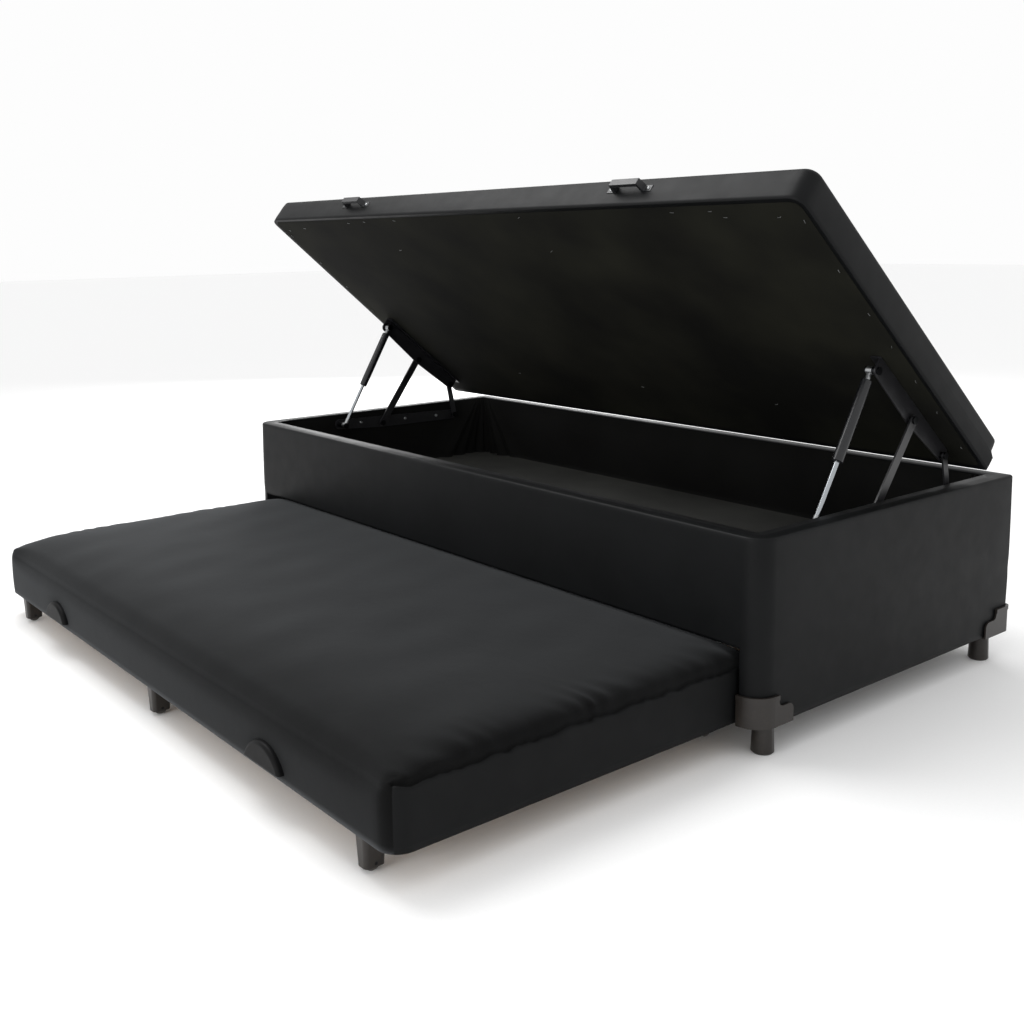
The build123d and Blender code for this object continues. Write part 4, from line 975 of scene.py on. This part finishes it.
class BED_OT_linings(bpy.types.Operator):
    """Lines the lid's underside with a stapled sheet"""

    bl_idname = "bed.linings"
    bl_label = "Lid lining"

    def execute(self, context):
        low, high = lid_extent("lid_lining")
        half_x, half_y = halves(low, high)
        xs, ys = (places(half, mm(0, 8, 20), 24 * MM) for half in (half_x, half_y))
        x, y = (grid.ravel() for grid in np.meshgrid(xs, ys))
        inward = edge_distance(x, y, half_x, half_y)
        waves = ripple(x, y, 330 * MM, 23) * 0.8 * MM * (1 - fade(inward, 45))
        # The waves stay inside the thickness of the CAD sheet, so that no rail cuts through.
        skin = 0.15 * MM
        height = np.clip(0.9 * MM - waves, skin, high.z - low.z - skin)
        margin = LID_HIGH.x - high.x
        front, rear = (np.maximum(size - margin - inward, TIGHTEST) for size in LID_CORNERS)
        bent = round_corners(x, y, half_x - inward, half_y - inward, front, rear)
        points = [LID @ Vector(point) for point in zip(*bent, height)]
        faces = [(a, d, c, b) for a, b, c, d in row_faces(len(xs), len(ys), closed=False)]
        piece = mesh_piece(
            "lid_underlining", points, faces, "spunbond_lining", "lid"
        )
        staples = self.staples(half_x, half_y)
        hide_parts("lid_lining")
        return {"FINISHED"}

    def staples(self, half_x, half_y):
        """Staples along the lining's edges and into the frame's rails, not quite in line."""
        rng = random.Random(17)
        pitch = sizes().staple_pitch
        margin, corner = 14 * MM, 20 * MM
        spots = []
        # Each row runs along the bed, at a distance from the front and with a chance per place.
        rows = ((12 * MM, 0.35), (34 * MM, 0.2), (130 * MM, 0.12), (700 * MM, 0.15))
        for from_front, chance in rows:
            for step in range(int(2 * (half_x - corner) / pitch) + 1):
                if rng.random() > chance:
                    continue
                x = -half_x + corner + step * pitch + rng.uniform(-25, 25) * MM
                y = -half_y + from_front + rng.uniform(-5, 5) * MM
                spots.append((min(x, half_x - margin), y, rng.uniform(-0.5, 0.5)))
        for side in (-1, 1):
            for step in range(int(2 * half_y / pitch)):
                y = -half_y + (step + 0.6) * pitch + rng.uniform(-20, 20) * MM
                spots.append((side * (half_x - margin), y, math.pi / 2 + rng.uniform(-0.3, 0.3)))
        points, faces = joined(self.staple(*spot) for spot in spots)
        return mesh_piece(
            "lining_staples", points, faces, "bright_zinc_steel", "lid"
        )

    def staple(self, x, y, turn):
        """One staple: a flat crown on the cloth, with its two legs driven in."""
        along = Vector((math.cos(turn), math.sin(turn), 0)) * sizes().staple_width / 2
        leg, crown = 3 * MM, -0.45 * MM
        bends = ((leg, -1), (crown, -0.97), (crown, -0.8), (crown, 0.8), (crown, 0.97), (leg, 1))
        path = [LID @ (Vector((x, y, z)) + along * share) for z, share in bends]
        return wire(path, 0.4 * MM)


class BED_OT_well_liner(bpy.types.Operator):
    """Hangs the cloth liner in the storage well, gathered at its two rear corners"""

    bl_idname = "bed.well_liner"
    bl_label = "Well liner"

    def execute(self, context):
        clear = 0.5 * MM
        half_x, half_y = (size - clear for size in halves(LINER_LOW, LINER_HIGH))
        bottom = LINER_LOW.z + 2 * clear
        height = LINER_HIGH.z - bottom
        levels = 15
        rings = []
        for level in range(levels):
            share = 1 - level / (levels - 1)
            rings.append(self.ring(half_x, half_y, share, bottom + share * height))
        rings += self.floor(rings[-1], self.ring(half_x, half_y, 0, bottom, folds=0))
        count = len(rings[0])
        points = [(x, y + BOX_MIDDLE.y, z) for ring in rings for x, y, z in ring]
        last = (len(rings) - 1) * count
        faces = row_faces(count, len(rings)) + [tuple(range(last, last + count))]
        piece = mesh_piece("well_liner", points, faces, "liner_spunbond", "base")
        # The floor panel's lighter finish is painted light from above, a lit copy of the wall
        # cloth.
        piece.data.materials.append(finish("liner_floor_painted_light"))
        for face in piece.data.polygons[(levels - 1) * count:]:
            face.material_index = 1
        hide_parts("storage_liner")
        return {"FINISHED"}

    def floor(self, folded, plain):
        """The rings over the well's floor. The folds end near its edge, and slow waves begin."""
        ends_by = 0.09
        rings = []
        for size in (0.985, 0.955, 0.9, 0.8, 0.65, 0.45, 0.22):
            kept = max(0, 1 - (1 - size) / ends_by)
            ring = []
            for start, end in zip(plain, folded):
                x, y, z = between(start, end, kept)
                wave = 1 + math.sin(x / (61 * MM) + 2 * math.sin(y / (83 * MM)))
                ring.append((x * size, y * size, z + 0.9 * MM * wave * (1 - size**6)))
            rings.append(ring)
        return rings

    def ring(self, half_x, half_y, share, z, folds=1):
        """The liner's plan at one share of its height. Its folds fan out from the top corners,
        where little of their reach and depth is left."""
        reach = sizes().fold_reach * (1 - 0.82 * share)
        depth = folds * sizes().fold_depth * (1 - 0.86 * share)
        along = [reach * part for part in (1, 0.72, 0.42, 0.2, 0)]
        pins = [(half_x, half_y - far) for far in along]
        pins += [(half_x - far, half_y) for far in reversed(along[:-1])]
        right = [(x, y, z) for x, y in self.swags(pins, depth)]
        left = [(-x, y, z) for x, y, z in reversed(right)]

        def wall(start, end, steps):
            spots = [between(start, end, step / steps) for step in range(steps)]
            return [self.slack(*spot, share, half_x) for spot in spots]

        corners = ((-half_x, -half_y, z), (half_x, -half_y, z))
        points = wall(left[-1], corners[0], 9) + wall(*corners, 36) + wall(corners[1], right[0], 9)
        return points + right[:-1] + wall(right[-1], left[0], 36) + left[:-1]

    def slack(self, x, y, z, share, half_x):
        """A straight wall's cloth, bellied a little off the boards below its stapled top."""
        wave = 0.5 + 0.5 * math.sin(x / (47 * MM) + 1.7 * math.sin(x / (110 * MM)) + 3 * share)
        off = 3.4 * MM * wave * math.sin(math.pi * min(share * 1.25, 1)) * (share < 0.8)
        if abs(abs(x) - half_x) < TOUCHING:
            return (x - math.copysign(off * 0.5, x), y, z)
        return (x, y - math.copysign(off, y), z)

    def swags(self, pins, depth):
        """Cloth hanging between pins: a belly from each pin to the next, with uneven depths."""
        points = []
        for index, (start, end) in enumerate(zip(pins, pins[1:])):
            run_x, run_y = end[0] - start[0], end[1] - start[1]
            wide = math.hypot(run_x, run_y)
            deep = depth * (0.8 + 0.4 * math.sin(2.3 * index + 0.7))
            for step in range(5):
                x, y = between(start, end, step / 5)
                belly = deep * math.sin(math.pi * step / 5) / wide
                points.append((x - run_y * belly, y + run_x * belly))
        return points + [pins[-1]]


# Fastenings and finishes


class BED_OT_screws(bpy.types.Operator):
    """Drives the screws of the lid's handles and of the wall plates"""

    bl_idname = "bed.screws"
    bl_label = "Screws"

    def execute(self, context):
        # The heads lie on the handles' ears, which stand out in front of the lid.
        ear, thickness = 9 * MM, 4 * MM
        for hand in ("left", "right"):
            low, high = lid_extent(f"lid_handle_{hand}")
            middle = (low.z + high.z) / 2
            xs = (low.x + ear, high.x - ear)
            spots = [LID @ Vector((x, LID_LOW.y - thickness, middle)) for x in xs]
            outward = LID.to_3x3() @ Vector((0, -1, 0))
            self.drive(f"handle_screws_{hand}", spots, outward, 3.8 * MM, "lid")
        for hand, side in (("left", -1), ("right", 1)):
            low, high = span(f"wall_plate_{hand}")
            strut, link = pivot(f"strut_{hand}_swing"), pivot(f"rear_link_{hand}_swing")
            spots = [strut.lerp(link, part) for part in (0.18, 0.56, 0.84)]
            for spot in spots:
                spot.x = low.x if side > 0 else high.x
            self.drive(f"plate_screws_{hand}", spots, Vector((-side, 0, 0)), 5 * MM, "base")
        return {"FINISHED"}

    def drive(self, name, spots, outward, radius, body):
        """Pan heads, each with a recess in its middle."""
        outs, ups = (1, 1, 0.86, 0.55, 0.42, 0.34, 0.05), (-0.1, 0.12, 0.34, 0.46, 0.47, 0.2, 0.2)
        profile = [(radius * out, radius * up) for out, up in zip(outs, ups)]
        points, faces = joined([turned(profile, facing(spot, outward)) for spot in spots])
        mesh_piece(name, points, faces, "bright_zinc_steel", body)


class BED_OT_finishes(bpy.types.Operator):
    """Gives every remaining CAD node its finish"""

    bl_idname = "bed.finishes"
    bl_label = "Finishes"

    # The CAD nodes of each finish. A star stands for left and for right.
    NODES = {
        "stained_pine": "end_panel_* front_panel back_panel floor_ledges floor_bearers",
        "sawn_pine": "lid_side_rails lid_cross_rails trundle_side_rails trundle_end_rails "
        "trundle_slats",
        "pressed_board": "lid_deck trundle_deck storage_floor",
        "powder_coated_steel": "wall_plate_* front_arm_* rear_link_* lid_web_*",
        "strut_enamel": "strut_tube_*",
        "chromed_rod_steel": "strut_rod_*",
        "bright_zinc_steel": "rod_socket_* tube_socket_*",
        "black_zinc_steel": "link_pin_* tube_stud_* lower_pins upper_pins caster_axles foot_studs",
        "guard_polypropylene": "corner_guards box_feet caster_hoods",
        "handle_polypropylene": "lid_handle_*",
        "pull_polypropylene": "trundle_pull_*",
        "moulded_nylon": "wheel_front_* wheel_front_middle wheel_rear_* wheel_rear_middle",
    }

    def execute(self, context):
        for name, nodes in self.NODES.items():
            material = finish(name)
            for node in nodes.split():
                for hand in ("left", "right"):
                    mesh = frame["nodes"][node.replace("*", hand)].data
                    mesh.materials.clear()
                    mesh.materials.append(material)
        return {"FINISHED"}


# The add-on


class BED_PT_panel(bpy.types.Panel):
    """Lists the bed's pieces in the order that they are made"""

    bl_label = "Storage bed"
    bl_idname = "BED_PT_panel"
    bl_space_type = "VIEW_3D"
    bl_region_type = "UI"
    bl_category = "Bed"

    def draw(self, context):
        for operator in OPERATORS:
            self.layout.operator(operator.bl_idname)
        for group in (context.scene.bed_sizes, context.scene.bed_colours):
            column = self.layout.column(align=True)
            for name in group.__annotations__:
                column.prop(group, name)


OPERATORS = (
    BED_OT_stage,
    BED_OT_box_cover,
    BED_OT_lid_cover,
    BED_OT_trundle_cover,
    BED_OT_linings,
    BED_OT_well_liner,
    BED_OT_screws,
    BED_OT_finishes,
)
CLASSES = (BedSizes, BedColours, *OPERATORS, BED_PT_panel)


def register():
    for cls in CLASSES:
        bpy.utils.register_class(cls)
    bpy.types.Scene.bed_sizes = PointerProperty(type=BedSizes)
    bpy.types.Scene.bed_colours = PointerProperty(type=BedColours)


def unregister():
    del bpy.types.Scene.bed_colours
    del bpy.types.Scene.bed_sizes
    for cls in reversed(CLASSES):
        bpy.utils.unregister_class(cls)


def main():
    """Registers the add-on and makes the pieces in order."""
    register()
    for operator in OPERATORS:
        group, name = operator.bl_idname.split(".")
        getattr(getattr(bpy.ops, group), name)()


if __name__ == "__main__":
    main()
